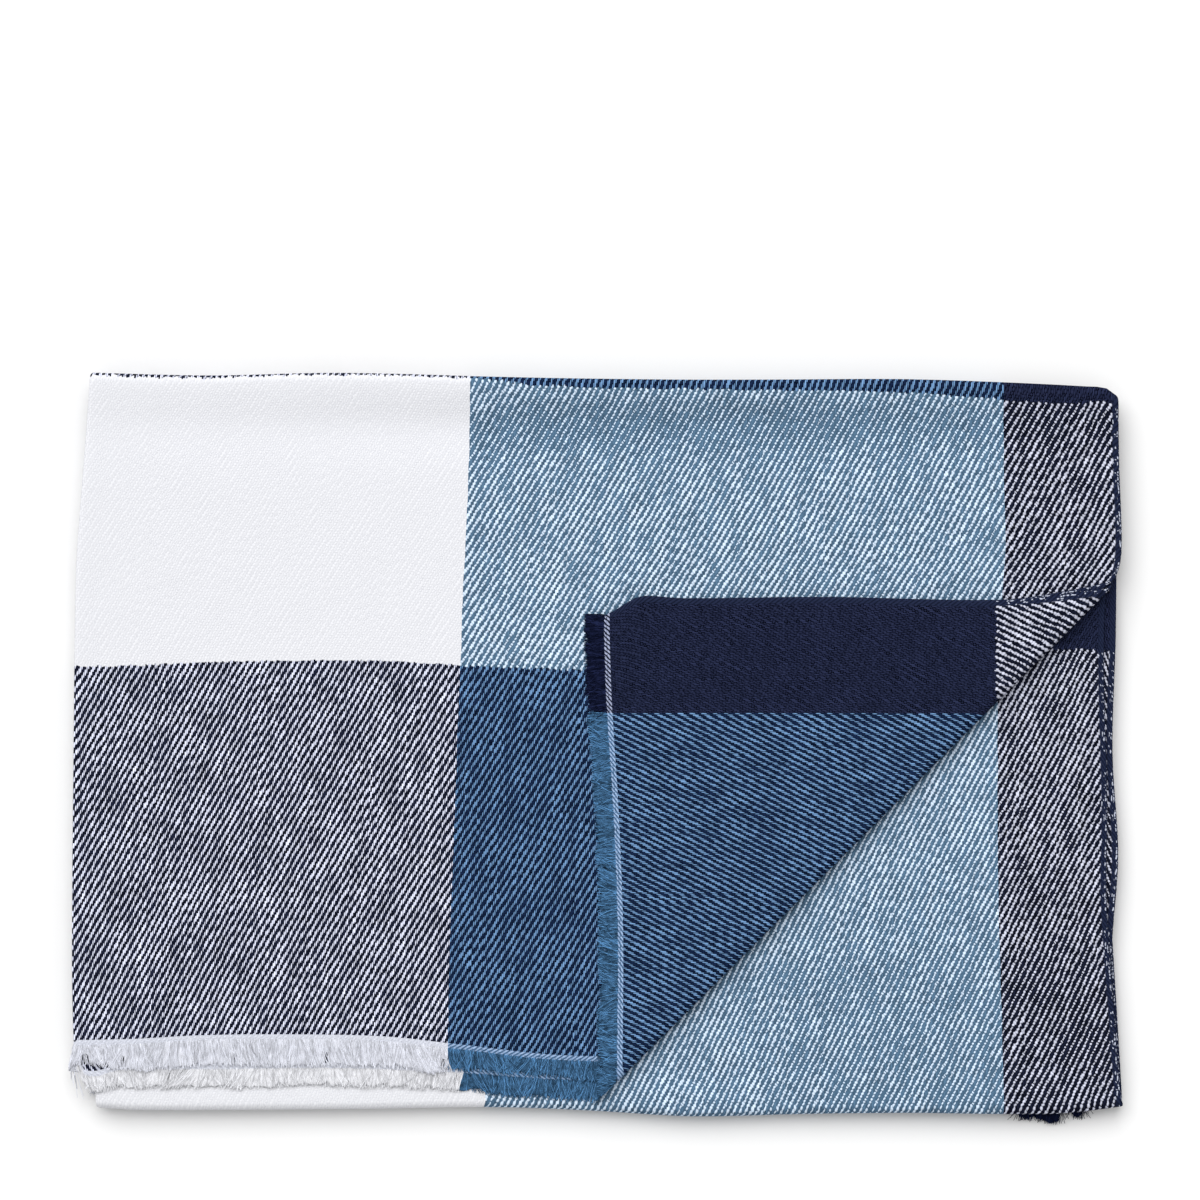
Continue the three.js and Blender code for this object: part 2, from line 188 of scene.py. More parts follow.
UPPER_FIRST_ROWS = RowTable(
    ("x", "edge", "navy_white", "back"),
    (
        (0, 44.6, 279.6, 462.5),
        (40, 45.3, 280.4, 461),
        (82, 47.5, 282.3, 460.7),
        (140, 48.1, 283.4, 462.3),
        (203, 46.8, 283.1, 461.6),
        (250, 42, 280, 460.2),
        (312, 35.2, 277.8, 458.8),
        (390, 34, 274, 458.1),
        (516, 33, 266, 458.4),
        (580, 32, 262, 456.5),
        (630, 32, 260, 453.9),
        (639, 32, 260, 453.5),
        (644, 32, 260, 452.2),
        (648, 32, 260, 449),
        (651, 32, 260, 446.5),
    ),
)
LOWER_FIRST_ROWS = RowTable(
    ("x", "edge", "navy_white", "back"),
    (
        (0, 42.5, 279.6, 462.5),
        (3, 29, 279.3, 462.3),
        (6, 25.6, 279, 462.2),
        (14, 25.3, 278.6, 461.8),
        (21, 27.6, 278.2, 461.5),
        (30, 29.4, 277.9, 461.3),
        (82, 29.4, 277, 460.7),
        (166, 30, 276, 462.3),
        (246, 27, 272, 460.2),
        (312, 22.7, 268, 458.8),
        (437, 23, 262, 458.1),
        (516, 20.2, 259, 458.4),
        (585, 16, 257.5, 456.3),
        (630, 14.6, 257.5, 453.9),
        (639, 14.5, 257.5, 453.5),
        (644, 14.5, 257.5, 452.2),
        (648, 14.5, 257.5, 449),
        (651, 14.5, 257.5, 446.5),
    ),
)
SECOND_ROWS = RowTable(
    ("x", "front", "back"),
    (
        (0, 2.6, 462.5),
        (14, 1.7, 462.2),
        (26, 1, 462),
        (82, 1, 460.7),
        (166, 1.6, 462.3),
        (256, 2.6, 460),
        (321, 0.9, 458.8),
        (380, -3.1, 458.1),
        (447, -1, 458.1),
        (516, -0.9, 458.4),
        (608, -1.5, 455.2),
        (630, 0.2, 453.9),
        (639, 1.4, 453.5),
        (644, 2.2, 452.2),
        (648, 2.9, 449),
        (651, 3.4, 446.5),
    ),
)
THIRD_ROWS = RowTable(
    ("x", "front", "back"),
    (
        (0, 2.6, 459),
        (14, 1.7, 459),
        (26, 1, 459),
        (82, 1, 458.6),
        (166, 1.6, 458),
        (256, 2.6, 457),
        (380, -3.1, 456),
        (516, -0.9, 455),
        (608, -1.5, 452),
        (650, 3.4, 447),
    ),
)
FOURTH_ROWS = RowTable(
    ("x", "edge", "back"),
    (
        (0, 21, 459),
        (300, 20, 457),
        (450, 18.5, 456),
        (540, 13, 454),
        (650, 8, 449),
    ),
)
# How far the cloth has slipped along its length at the first back fold and just past it, by
# the place across the packet, and how much of each slip acts at each place along the cloth.
SLIP = RowTable(
    ("x", "at_fold", "past_fold"),
    (
        (0, -2.3, 0),
        (247, -2.3, 2),
        (292, -0.2, 4),
        (390, 0.7, 6),
        (515, 2.5, 9),
        (578, 4.7, 12),
        (617, 5.3, 13),
        (650, 2, 13.5),
    ),
)
SLIP_SHARES = RowTable(
    ("v", "at_fold", "past_fold"),
    (
        (240, 0, 0),
        (398, 1, 0),
        (420, 1, 0.02),
        (560, 0, 1),
        (640, 0, 1),
        (1150, 0, 0),
    ),
)

# How far the first cut end's fringe reaches, by the place across the packet.
REACHES = RowTable(
    ("x", "upper", "lower"),
    (
        (0, 16, 3),
        (4, 15.3, 9.5),
        (9, 15.4, 11.5),
        (14.5, 15.4, 12),
        (18.5, 11.5, 12.5),
        (22, 14.5, 13),
        (26, 18.6, 13.6),
        (82, 18.9, 13.4),
        (215, 18.7, 13.6),
        (248, 16.5, 14),
        (272, 13.8, 14.4),
        (330, 13.4, 14.4),
    ),
)
# How much further than usual the second cut end's fringe reaches, by the place across the
# packet: it peeps out at the front in two tufts.
TUFTS = RowTable(
    ("x", "extra"),
    (
        (560, -2.5),
        (588, -2.8),
        (595, 1.8),
        (603, 1.2),
        (612, 3.2),
        (621, 2.4),
        (625, -5.5),
        (628, -5),
        (632, -1.5),
        (637, -2.2),
        (640, -8),
        (650, -9),
    ),
)


def smooth_step(t: Array) -> Array:
    """A value that eases from 0 to 1 as t goes from 0 to 1."""
    inside = np.clip(t, 0, 1)
    return inside * inside * (3 - 2 * inside)


@dataclass(frozen=True)
class Relief:
    """The soft relief of the packet: rises at its folds, a trough, waves and small puckers.

    Lengths are in millimetres, and heights are shares of the cloth's height. A fold has its
    rise and its reach. A wave has its amount, and a sine its length over 2 pi and its start.
    """

    back: tuple[float, float] = (0.07, 16)
    left: tuple[float, float] = (0.06, 14)
    front: tuple[float, float] = (0.05, 16)
    trough_y: float = 430.5
    trough_x: float = 380.0
    trough_length: float = 300.0
    trough_front: float = 19.0
    trough_back: float = 13.5
    trough_depth: float = 0.2
    # The front right is painted darker, like the trough: where, how far, how it blends in, and how
    # much.
    darker_front_y: float = 45.0
    darker_front_reach: float = 75.0
    darker_front_blend: float = 90.0
    darker_front_share: float = 0.4
    swell: float = 0.028
    swell_x: tuple[float, float] = (74, 0.6)
    swell_y: tuple[float, float] = (58, 0.9)
    drift: float = 0.022
    drift_xy: tuple[float, float, float] = (131, 97, 2.1)
    pucker: float = 0.006
    pucker_x: tuple[float, float] = (9.7, 31)
    pucker_y: tuple[float, float] = (12.3, 27)
    pucker_bends: tuple[float, float] = (2, 1.7)

    def trough(self, x: Array, y: Array) -> Array:
        """How near a place of the packet is to the soft trough before its back fold."""
        reach = np.where(y < self.trough_y, self.trough_front, self.trough_back)
        across = ((x - self.trough_x) / self.trough_length) ** 2
        return np.exp(-(((y - self.trough_y) / reach) ** 2) - across)

    def pinch(self, x: Array, y: Array) -> Array:
        """How much painted shade narrows the weft floats: the shade of the trough, and darker
        towards the front right.
        """
        front = np.exp(-(((y - self.darker_front_y) / self.darker_front_reach) ** 2))
        front = front * smooth_step((x - self.trough_x) / self.darker_front_blend)
        return self.trough(x, y) + self.darker_front_share * front

    def waves(self, x: Array, y: Array) -> Array:
        """The waves and puckers, as a share of the height."""
        (x_size, x_start), (y_size, y_start) = self.swell_x, self.swell_y
        swell = np.sin(x / x_size + x_start) * np.sin(y / y_size + y_start)
        x_size, y_size, start = self.drift_xy
        drift = np.sin(x / x_size + y / y_size + start)
        x_bend, y_bend = self.pucker_bends
        pucker_x = np.sin(x / self.pucker_x[0] + x_bend * np.sin(y / self.pucker_x[1]))
        pucker_y = np.sin(y / self.pucker_y[0] + y_bend * np.sin(x / self.pucker_y[1]))
        return self.swell * swell + self.drift * drift + self.pucker * pucker_x * pucker_y


@dataclass(frozen=True)
class Packet:
    """The folds of the throw, in millimetres, with x and y from the packet's front left corner."""

    layer_pitch: float = 2.6
    pass_pitch: float = 5.4
    thickness: float = 1.6
    width: float = 650.0
    length: float = 460.0
    first_edge: float = 46.0
    last_edge: float = 14.0
    corner_line: float = 318.75
    blue_from_fold: float = 245.0
    navy_from_fold: float = 580.0
    navy_white_row: float = 280.0
    fringe: float = 14.5
    flap_droop: float = 4.0
    top_droop: float = 0.8
    droop_run: float = 10.0
    relief: Relief = field(default_factory=Relief)

    @property
    def half_pitch(self) -> float:
        """Half the distance between the two layers of a pair."""
        return self.layer_pitch / 2

    @property
    def pair_half(self) -> float:
        """From a pair's middle to its outside."""
        return self.half_pitch + self.thickness / 2

    @property
    def turn_radius(self) -> float:
        """The radius of the lengthwise folds and of the turned corner."""
        return self.pass_pitch / 2

    @property
    def turn_nose(self) -> float:
        """From the axis of such a fold to its outermost line."""
        return self.turn_radius + self.pair_half

    @property
    def across_run(self) -> float:
        """The flat width of one layer."""
        return self.width - self.pair_half

    @property
    def across_turn(self) -> float:
        """The cloth that goes round the width fold."""
        return math.pi * self.half_pitch

    @property
    def along_turn(self) -> float:
        """The cloth that goes round a lengthwise fold."""
        return math.pi * self.turn_radius

    @property
    def cloth_width(self) -> float:
        """From one selvedge to the other."""
        return 2 * self.across_run + self.across_turn

    @property
    def passes(self) -> list[tuple[float, float]]:
        """Where each pass starts and ends, from the front."""
        back, front = self.length - self.turn_nose, self.turn_nose
        return [(self.first_edge, back), (back, front), (front, back), (back, self.last_edge)]

    @property
    def runs(self) -> list[float]:
        """The flat length of each pass."""
        return [abs(end - start) for start, end in self.passes]

    @property
    def cloth_length(self) -> float:
        """From one cut end to the other."""
        return sum(self.runs) + (len(self.runs) - 1) * self.along_turn

    def table_of(self, index: int, layer: int) -> tuple[RowTable, RowTable, dict[str, float]]:
        """Finds the tables of one pass of one layer.

        Args:
            index: the pass, from 0.
            layer: 0 for the upper layer of the pair as it starts, 1 for the lower.

        Returns:
            The lengthwise and the crosswise table, and the square places of the latter's columns.
        """
        back = {"back": self.length}
        first = {"edge": self.first_edge, "navy_white": self.navy_white_row, **back}
        middle = {"front": 0.0, **back}
        last = {"edge": self.last_edge, **back}
        lengthwise = (
            (UPPER_FIRST, LOWER_FIRST),
            (UPPER_SECOND, LOWER_SECOND),
            (UNDERNEATH, UNDERNEATH),
            (LAST_PASS, LAST_PASS),
        )
        crosswise = (
            (UPPER_FIRST_ROWS, LOWER_FIRST_ROWS),
            (SECOND_ROWS, SECOND_ROWS),
            (THIRD_ROWS, THIRD_ROWS),
            (FOURTH_ROWS, FOURTH_ROWS),
        )
        stations = (first, middle, middle, last)
        return lengthwise[index][layer], crosswise[index][layer], stations[index]

    @staticmethod
    def among(stations: list[float], values: list[Array], at: Array) -> Array:
        """Reads values between stations, in straight lines that go on past the ends.

        Args:
            stations: the square places.
            values: the real places there, one array each.
            at: the square places to read.

        Returns:
            The real places.
        """
        found = np.zeros_like(at)
        for step in range(len(stations) - 1):
            low, high = stations[step], stations[step + 1]
            here = (at > low) | (step == 0)
            t = (at - low) / (high - low)
            found = np.where(here, values[step] + (values[step + 1] - values[step]) * t, found)
        return found

    def place(
        self, index: int, layer: int, x: Array, y: Array
    ) -> tuple[Array, Array]:
        """Moves points of a square packet to where they lie in the real, uneven one.

        Args:
            index: the pass.
            layer: the layer of the pair.
            x: square places across.
            y: square places from the front.

        Returns:
            The real places, across and from the front.
        """
        lengthwise, crosswise, rows = self.table_of(index, layer)
        real_rows = [crosswise.at(name, x) for name in rows]
        real_y = self.among(list(rows.values()), real_rows, y)
        columns = {
            "left_fold": 0.0,
            "white_blue": self.blue_from_fold,
            "blue_navy": self.navy_from_fold,
            "selvedge": self.width,
        }
        real_columns = [lengthwise.at(name, real_y) for name in columns]
        return self.among(list(columns.values()), real_columns, x), real_y

    def round_width_fold(
        self, u: Array, w: Array
    ) -> tuple[Array, Array, Array]:
        """Folds the cloth in half across its width.

        Args:
            u: places across the cloth.
            w: distances from the cloth's middle, towards its face.

        Returns:
            The place across the packet, the height above the pair's middle, and the layer from
            0 to 1.
        """
        turn = np.clip((u - self.across_run) / self.half_pitch, 0, math.pi)
        r = self.half_pitch + w
        upper_flat = np.maximum(self.across_run - u, 0)
        lower_flat = np.maximum(u - self.across_run - self.across_turn, 0)
        x = self.pair_half - r * np.sin(turn) + upper_flat + lower_flat
        return x, r * np.cos(turn), turn / math.pi

    def along_passes(
        self, v: Array, h: Array
    ) -> tuple[Array, Array, Array, Array]:
        """Lays the pair back and forth along its length.

        Args:
            v: places along the cloth.
            h: heights above the pair's middle as it starts.

        Returns:
            The square place from the front, the height, the pass, and how far round the turn to
            the next pass the point is, from 0 to 1.
        """
        y, z = np.zeros_like(v), np.zeros_like(v)
        index, turned = np.zeros(v.shape, int), np.zeros_like(v)
        rest, waiting = v.copy(), np.ones(v.shape, bool)
        for step, ((start, end), run) in enumerate(zip(self.passes, self.runs)):
            way = -1 if step % 2 else 1
            level = self.pair_half + (len(self.runs) - 1 - step) * self.pass_pitch
            last = step == len(self.runs) - 1
            flat = waiting & ((rest <= run) | last)
            y = np.where(flat, start + way * rest, y)
            z = np.where(flat, level + way * h, z)
            turn = (rest - run) / self.turn_radius
            bent = waiting & ~flat & (turn < math.pi)
            r = self.turn_radius + way * h
            y = np.where(bent, end + way * r * np.sin(turn), y)
            z = np.where(bent, level - self.turn_radius + r * np.cos(turn), z)
            turned = np.where(bent, turn / math.pi, turned)
            index = np.where(flat | bent, step, index)
            waiting = waiting & ~(flat | bent)
            rest = rest - run - self.along_turn
        return y, z, index, turned

    def plan(self, u: Array, v: Array, w: Array) -> tuple[Array, ...]:
        """Finds where flat points lie before the corner is turned back.

        Args:
            u: places across the cloth.
            v: places along it.
            w: distances from its middle.

        Returns:
            The place across, the place from the front, the height, the height above the pair's
            middle, the layer, and whether the point is on the first pass.
        """
        x, h, layer = self.round_width_fold(u, w)
        y, z, index, turned = self.along_passes(v, h)
        real = np.zeros((2,) + u.shape)
        for step in range(len(self.runs)):
            here = [self.place(step, side, x, y) for side in (0, 1)]
            after = min(step + 1, len(self.runs) - 1)
            there = [self.place(after, side, x, y) for side in (0, 1)]
            for axis in (0, 1):
                now = here[0][axis] * (1 - layer) + here[1][axis] * layer
                then = there[0][axis] * (1 - layer) + there[1][axis] * layer
                mixed = now * (1 - turned) + then * turned
                real[axis] = np.where(index == step, mixed, real[axis])
        first = (index == 0) & (turned == 0)
        return real[0], real[1], z, h, layer, first

    def past_corner(self, x: Array, y: Array) -> Array:
        """How far past the start of the diagonal fold a point of the first pass lies."""
        return (x - y - self.corner_line) / math.sqrt(2) + self.turn_nose

    def fullness(self, x: Array, y: Array) -> Array:
        """How much higher than flat the cloth stands at a place, as a share of its height.

        It is fuller at the folds, with soft hollows and small puckers between them. The same
        share for every layer keeps them apart.

        Args:
            x: places across the packet.
            y: places from its front.

        Returns:
            The share.
        """
        relief = self.relief
        folds = ((self.length - y, *relief.back), (x, *relief.left), (y, *relief.front))
        total = sum(rise * np.exp(-np.abs(away) / reach) for away, rise, reach in folds)
        return total - relief.trough_depth * relief.trough(x, y) + relief.waves(x, y)

    def fold(self, u: Array, v: Array, w: Array) -> Array:
        """Finds where flat points of the cloth, or of the fringe past its ends, lie.

        Args:
            u: places across the cloth.
            v: places along it.
            w: distances from its middle, towards its face.

        Returns:
            An array of points, in millimetres.
        """
        x, y, z, h, layer, first = self.plan(u, v, w)
        past = np.where(first, self.past_corner(x, y), -1)
        turn = np.clip(past / self.turn_radius, 0, math.pi)
        flat = np.maximum(past - self.along_turn, 0)
        r = self.turn_radius - h
        moved = np.where(past > 0, r * np.sin(turn) - flat - past, 0) / math.sqrt(2)
        beyond = smooth_step(-v / self.fringe)
        over = layer * smooth_step(flat / self.droop_run)
        z = z + np.where(past > 0, self.turn_radius - h - r * np.cos(turn), 0)
        z = z - beyond * np.where(past > 0, self.flap_droop * over, self.top_droop)
        x, y = x + moved, y - moved
        return np.stack([x, y, z * (1 + self.fullness(x, y))], axis=-1)

    def stripe_place(self, u: Array, v: Array) -> Array:
        """Finds which pick of the real cloth lies at a place of the evenly folded one.

        Args:
            u: places across the cloth.
            v: places along the evenly folded cloth.

        Returns:
            The places along the cloth, with its slip at the folds.
        """
        x, _, _ = self.round_width_fold(u, np.zeros_like(u))
        at_fold = SLIP.at("at_fold", x) * SLIP_SHARES.at("at_fold", v)
        return v + at_fold + SLIP.at("past_fold", x) * SLIP_SHARES.at("past_fold", v)


def even_steps(start: float, end: float, size: float) -> list[float]:
    """Places of about a given spacing from one value to another.

    Args:
        start: the first place, which is left out.
        end: the last place.
        size: the spacing.

    Returns:
        The places.
    """
    count = max(1, round(abs(end - start) / size))
    return [start + (end - start) * (step + 1) / count for step in range(count)]


class Nodes:
    """A node tree, with short calls for the nodes that the finishes use."""

    def __init__(self, tree: bpy.types.NodeTree) -> None:
        """Starts with an empty tree."""
        self.tree = tree
        tree.nodes.clear()

    def add(self, kind: str, given: dict | tuple = (), **settings: object) -> bpy.types.Node:
        """Adds a node and feeds its inputs.

        Args:
            kind: the node's type.
            given: its inputs, by name, or in order.
            **settings: its properties.

        Returns:
            The node.
        """
        node = self.tree.nodes.new(kind)
        for name, value in settings.items():
            setattr(node, name, value)
        for name, value in given.items() if isinstance(given, dict) else enumerate(given):
            self.feed(node.inputs[name], value)
        row, column = divmod(len(self.tree.nodes), NODES_IN_A_ROW)
        node.location = (NODE_STEP[0] * column, -NODE_STEP[1] * row)
        return node

    def feed(self, socket: Socket, value: Given) -> None:
        """Links a socket to an output, or gives it a value."""
        if isinstance(value, Socket):
            self.tree.links.new(value, socket)
        else:
            socket.default_value = value

    def math(self, operation: str, *values: Given, clamp: bool = False) -> Socket:
        """Adds a Math node.

        Args:
            operation: what it does.
            *values: its inputs, numbers or outputs of other nodes.
            clamp: whether the result stays between 0 and 1.

        Returns:
            Its output.
        """
        return self.add("ShaderNodeMath", values, operation=operation, use_clamp=clamp).outputs[0]

    def times(self, value: Given, factor: Given) -> Socket:
        """Adds a Math node that multiplies."""
        return self.math("MULTIPLY", value, factor)

    def line(self, value: Given, slope: Given, start: Given, clamp: bool = False) -> Socket:
        """Adds a Math node that multiplies by the slope and adds the start."""
        return self.math("MULTIPLY_ADD", value, slope, start, clamp=clamp)

    def centred(self, share: Given) -> Socket:
        """Adds a Math node that takes off a half, so that the middle of a share is 0."""
        return self.math("SUBTRACT", share, 0.5)

    def off_middle(self, turns: Given) -> Socket:
        """How far a place is from the middle of its turn: 0.5 where two turns meet."""
        return self.math("ABSOLUTE", self.centred(self.math("FRACT", turns)))

    def ease(self, value: Given, low: float, high: float) -> Socket:
        """Adds a smooth Map Range node, which gives 0 at low and 1 at high."""
        given = {"Value": value, "From Min": low, "From Max": high}
        node = self.add("ShaderNodeMapRange", given, interpolation_type="SMOOTHSTEP")
        return node.outputs["Result"]

    def mix(self, factor: Given, a: Given, b: Given, blend: str = "MIX") -> Socket:
        """Adds a colour Mix node.

        Args:
            factor: how much of b.
            a: the first colour.
            b: the second colour.
            blend: the way of mixing.

        Returns:
            Its output.
        """
        given = {"Factor": factor, "A": a, "B": b}
        node = self.add("ShaderNodeMix", given, data_type="RGBA", blend_type=blend)
        return node.outputs["Result"]

    def tinted(self, colour: Given, tint: Given) -> Socket:
        """Multiplies a colour by another."""
        return self.mix(1.0, colour, tint, "MULTIPLY")

    def shaded(self, colour: Given, shade: Given) -> Socket:
        """Multiplies a colour by a number."""
        return self.tinted(colour, self.join(shade, shade, shade))

    def choose(self, factor: Given, a: Given, b: Given) -> Socket:
        """Adds a number Mix node, a where the factor is 0 and b where it is 1."""
        given = {"Factor": factor, "A": a, "B": b}
        return self.add("ShaderNodeMix", given, data_type="FLOAT").outputs["Result"]

    def join(self, x: Given, y: Given, z: Given = 0.0) -> Socket:
        """Adds a Combine XYZ node."""
        return self.add("ShaderNodeCombineXYZ", (x, y, z)).outputs[0]

    def part(self, vector: Given) -> tuple[Socket, ...]:
        """Adds a Separate XYZ node."""
        return tuple(self.add("ShaderNodeSeparateXYZ", (vector,)).outputs)

    def attribute(self, name: str) -> Socket:
        """Adds an Attribute node and gives its value."""
        return self.add("ShaderNodeAttribute", attribute_name=name).outputs["Fac"]

    def noise(self, vector: Given, scale: float, detail: float = 2.0) -> Socket:
        """Adds a Noise Texture and gives its value, about 0.5 in the mean."""
        given = {"Vector": vector, "Scale": scale, "Detail": detail}
        return self.add("ShaderNodeTexNoise", given, noise_dimensions="3D").outputs[0]

    def chance(self, vector: Given) -> Socket:
        """Adds a White Noise node, which gives each whole place its own value from 0 to 1."""
        given = {"Vector": vector}
        return self.add("ShaderNodeTexWhiteNoise", given, noise_dimensions="3D").outputs[0]

    def from_edge(self, place: Given, whole: float) -> Socket:
        """The distance to the nearer of two edges, of which the first is at 0."""
        middle = whole / 2 * MM
        away = self.math("ABSOLUTE", self.math("SUBTRACT", place, middle))
        return self.math("SUBTRACT", middle, away)

    def level(self, colour: Given) -> Socket:
        """How light a colour is, by its blue, which is the strongest part of every dye here."""
        return self.add("ShaderNodeSeparateColor", (colour,)).outputs["Blue"]

    def pale(self, colour: Given) -> Socket:
        """Whether a dye is the white one."""
        return self.ease(self.level(colour), *PALE_FROM)

    def hue(self, colour: Given) -> Socket:
        """A colour made so light that its blue is 1."""
        blue = self.level(colour)
        return self.mix(1.0, colour, self.join(blue, blue, blue), "DIVIDE")

    def surface(self, colour: Given, roughness: float, **given: Given) -> None:
        """Ends a material's tree with a surface that has no gloss.

        Args:
            colour: its colour.
            roughness: its roughness.
            **given: further inputs.
        """
        given = {"Base Color": colour, "Roughness": roughness, "Specular IOR Level": 0.0, **given}
        shader = self.add("ShaderNodeBsdfPrincipled", given)
        self.add("ShaderNodeOutputMaterial", {"Surface": shader.outputs[0]})


def new_material(name: str) -> tuple[bpy.types.Material, Nodes]:
    """Makes a material with an empty node tree."""
    made = bpy.data.materials.new(name)
    made.use_nodes = True
    return made, Nodes(made.node_tree)


def put(name: str, data: bpy.types.ID) -> bpy.types.Object:
    """Puts an object with this data into the scene."""
    made = bpy.data.objects.new(name, data)
    bpy.context.scene.collection.objects.link(made)
    return made


def keep(mesh: bpy.types.Mesh, title: str, values: Array) -> None:
    """Keeps one number for each of a mesh's points."""
    mesh.attributes.new(title, "FLOAT", "POINT").data.foreach_set("value", values)


class Group:
    """A shader node group with named inputs and outputs."""

    def __init__(self, name: str, inputs: dict[str, str], outputs: dict[str, str]) -> None:
        """Makes the group and its sockets.

        Args:
            name: the group's name.
            inputs: its inputs by name, each a Float, Vector or Color.
            outputs: its outputs in the same way.
        """
        self.tree = bpy.data.node_groups.new(name, "ShaderNodeTree")
        for way, sockets in (("INPUT", inputs), ("OUTPUT", outputs)):
            for title, kind in sockets.items():
                kind = f"NodeSocket{kind}"
                self.tree.interface.new_socket(title, in_out=way, socket_type=kind)
        self.nodes = Nodes(self.tree)
        self.entry = self.nodes.add("NodeGroupInput").outputs
        self.exit = self.nodes.add("NodeGroupOutput").inputs

    def give(self, **values: Given) -> None:
        """Feeds the group's outputs, by their names with underscores for spaces."""
        for name, value in values.items():
            self.nodes.feed(self.exit[name.replace("_", " ")], value)

    def place(self, nodes: Nodes, **values: Given) -> bpy.types.NodeOutputs:
        """Uses the group in another tree.

        Args:
            nodes: that tree.
            **values: inputs, by their names with underscores for spaces.

        Returns:
            The outputs.
        """
        given = {name.replace("_", " "): value for name, value in values.items()}
        return nodes.add("ShaderNodeGroup", given, node_tree=self.tree).outputs


@dataclass(frozen=True)
class YarnColours:
    """The three dyed yarns, as linear colours."""

    white: Colour = (0.695, 0.698, 0.716, 1.0)
    blue: Colour = (0.147, 0.265, 0.385, 1.0)
    navy: Colour = (0.0215, 0.0265, 0.0520, 1.0)


@dataclass(frozen=True)
class Stripes:
    """Where the check's stripes change, in millimetres from the nearest selvedge or cut end."""

    navy_border: float = 70.0
    blue_stripe: float = 405.0
    navy_band: float = 234.0
    white_band: float = 409.0
    inner_navy: float = 594.0
    width: float = 1300.0
    length: float = 1776.6
    colours: YarnColours = field(default_factory=YarnColours)

    def group(self) -> Group:
        """Builds the group that gives the warp's and the weft's colour at a place."""
        made = Group(
            "Yarn stripes",
            {"End Place": "Float", "Pick Place": "Float"},
            {"Warp Colour": "Color", "Weft Colour": "Color"},
        )
        nodes, yarn = made.nodes, self.colours
        warp = self.bands(
            nodes,
            nodes.from_edge(made.entry["End Place"], self.width),
            yarn.navy,
            (self.navy_border, yarn.blue),
            (self.blue_stripe, yarn.white),
        )
        weft = self.bands(
            nodes,
            nodes.from_edge(made.entry["Pick Place"], self.length),
            yarn.navy,
            (self.navy_band, yarn.white),
            (self.white_band, yarn.navy),
            (self.inner_navy, yarn.white),
        )
        made.give(Warp_Colour=warp, Weft_Colour=weft)
        return made

    @staticmethod
    def bands(nodes: Nodes, away: Socket, first: Colour, *others: tuple[float, Colour]) -> Given:
        """Gives the colour of the band that a distance falls in.

        Args:
            nodes: the tree.
            away: the distance, in metres.
            first: the first band's colour.
            *others: where each later band starts, in millimetres, and its colour.

        Returns:
            The colour.
        """
        colour: Given = first
        for start, dye in others:
            colour = nodes.mix(nodes.math("GREATER_THAN", away, start * MM), colour, dye)
        return colour


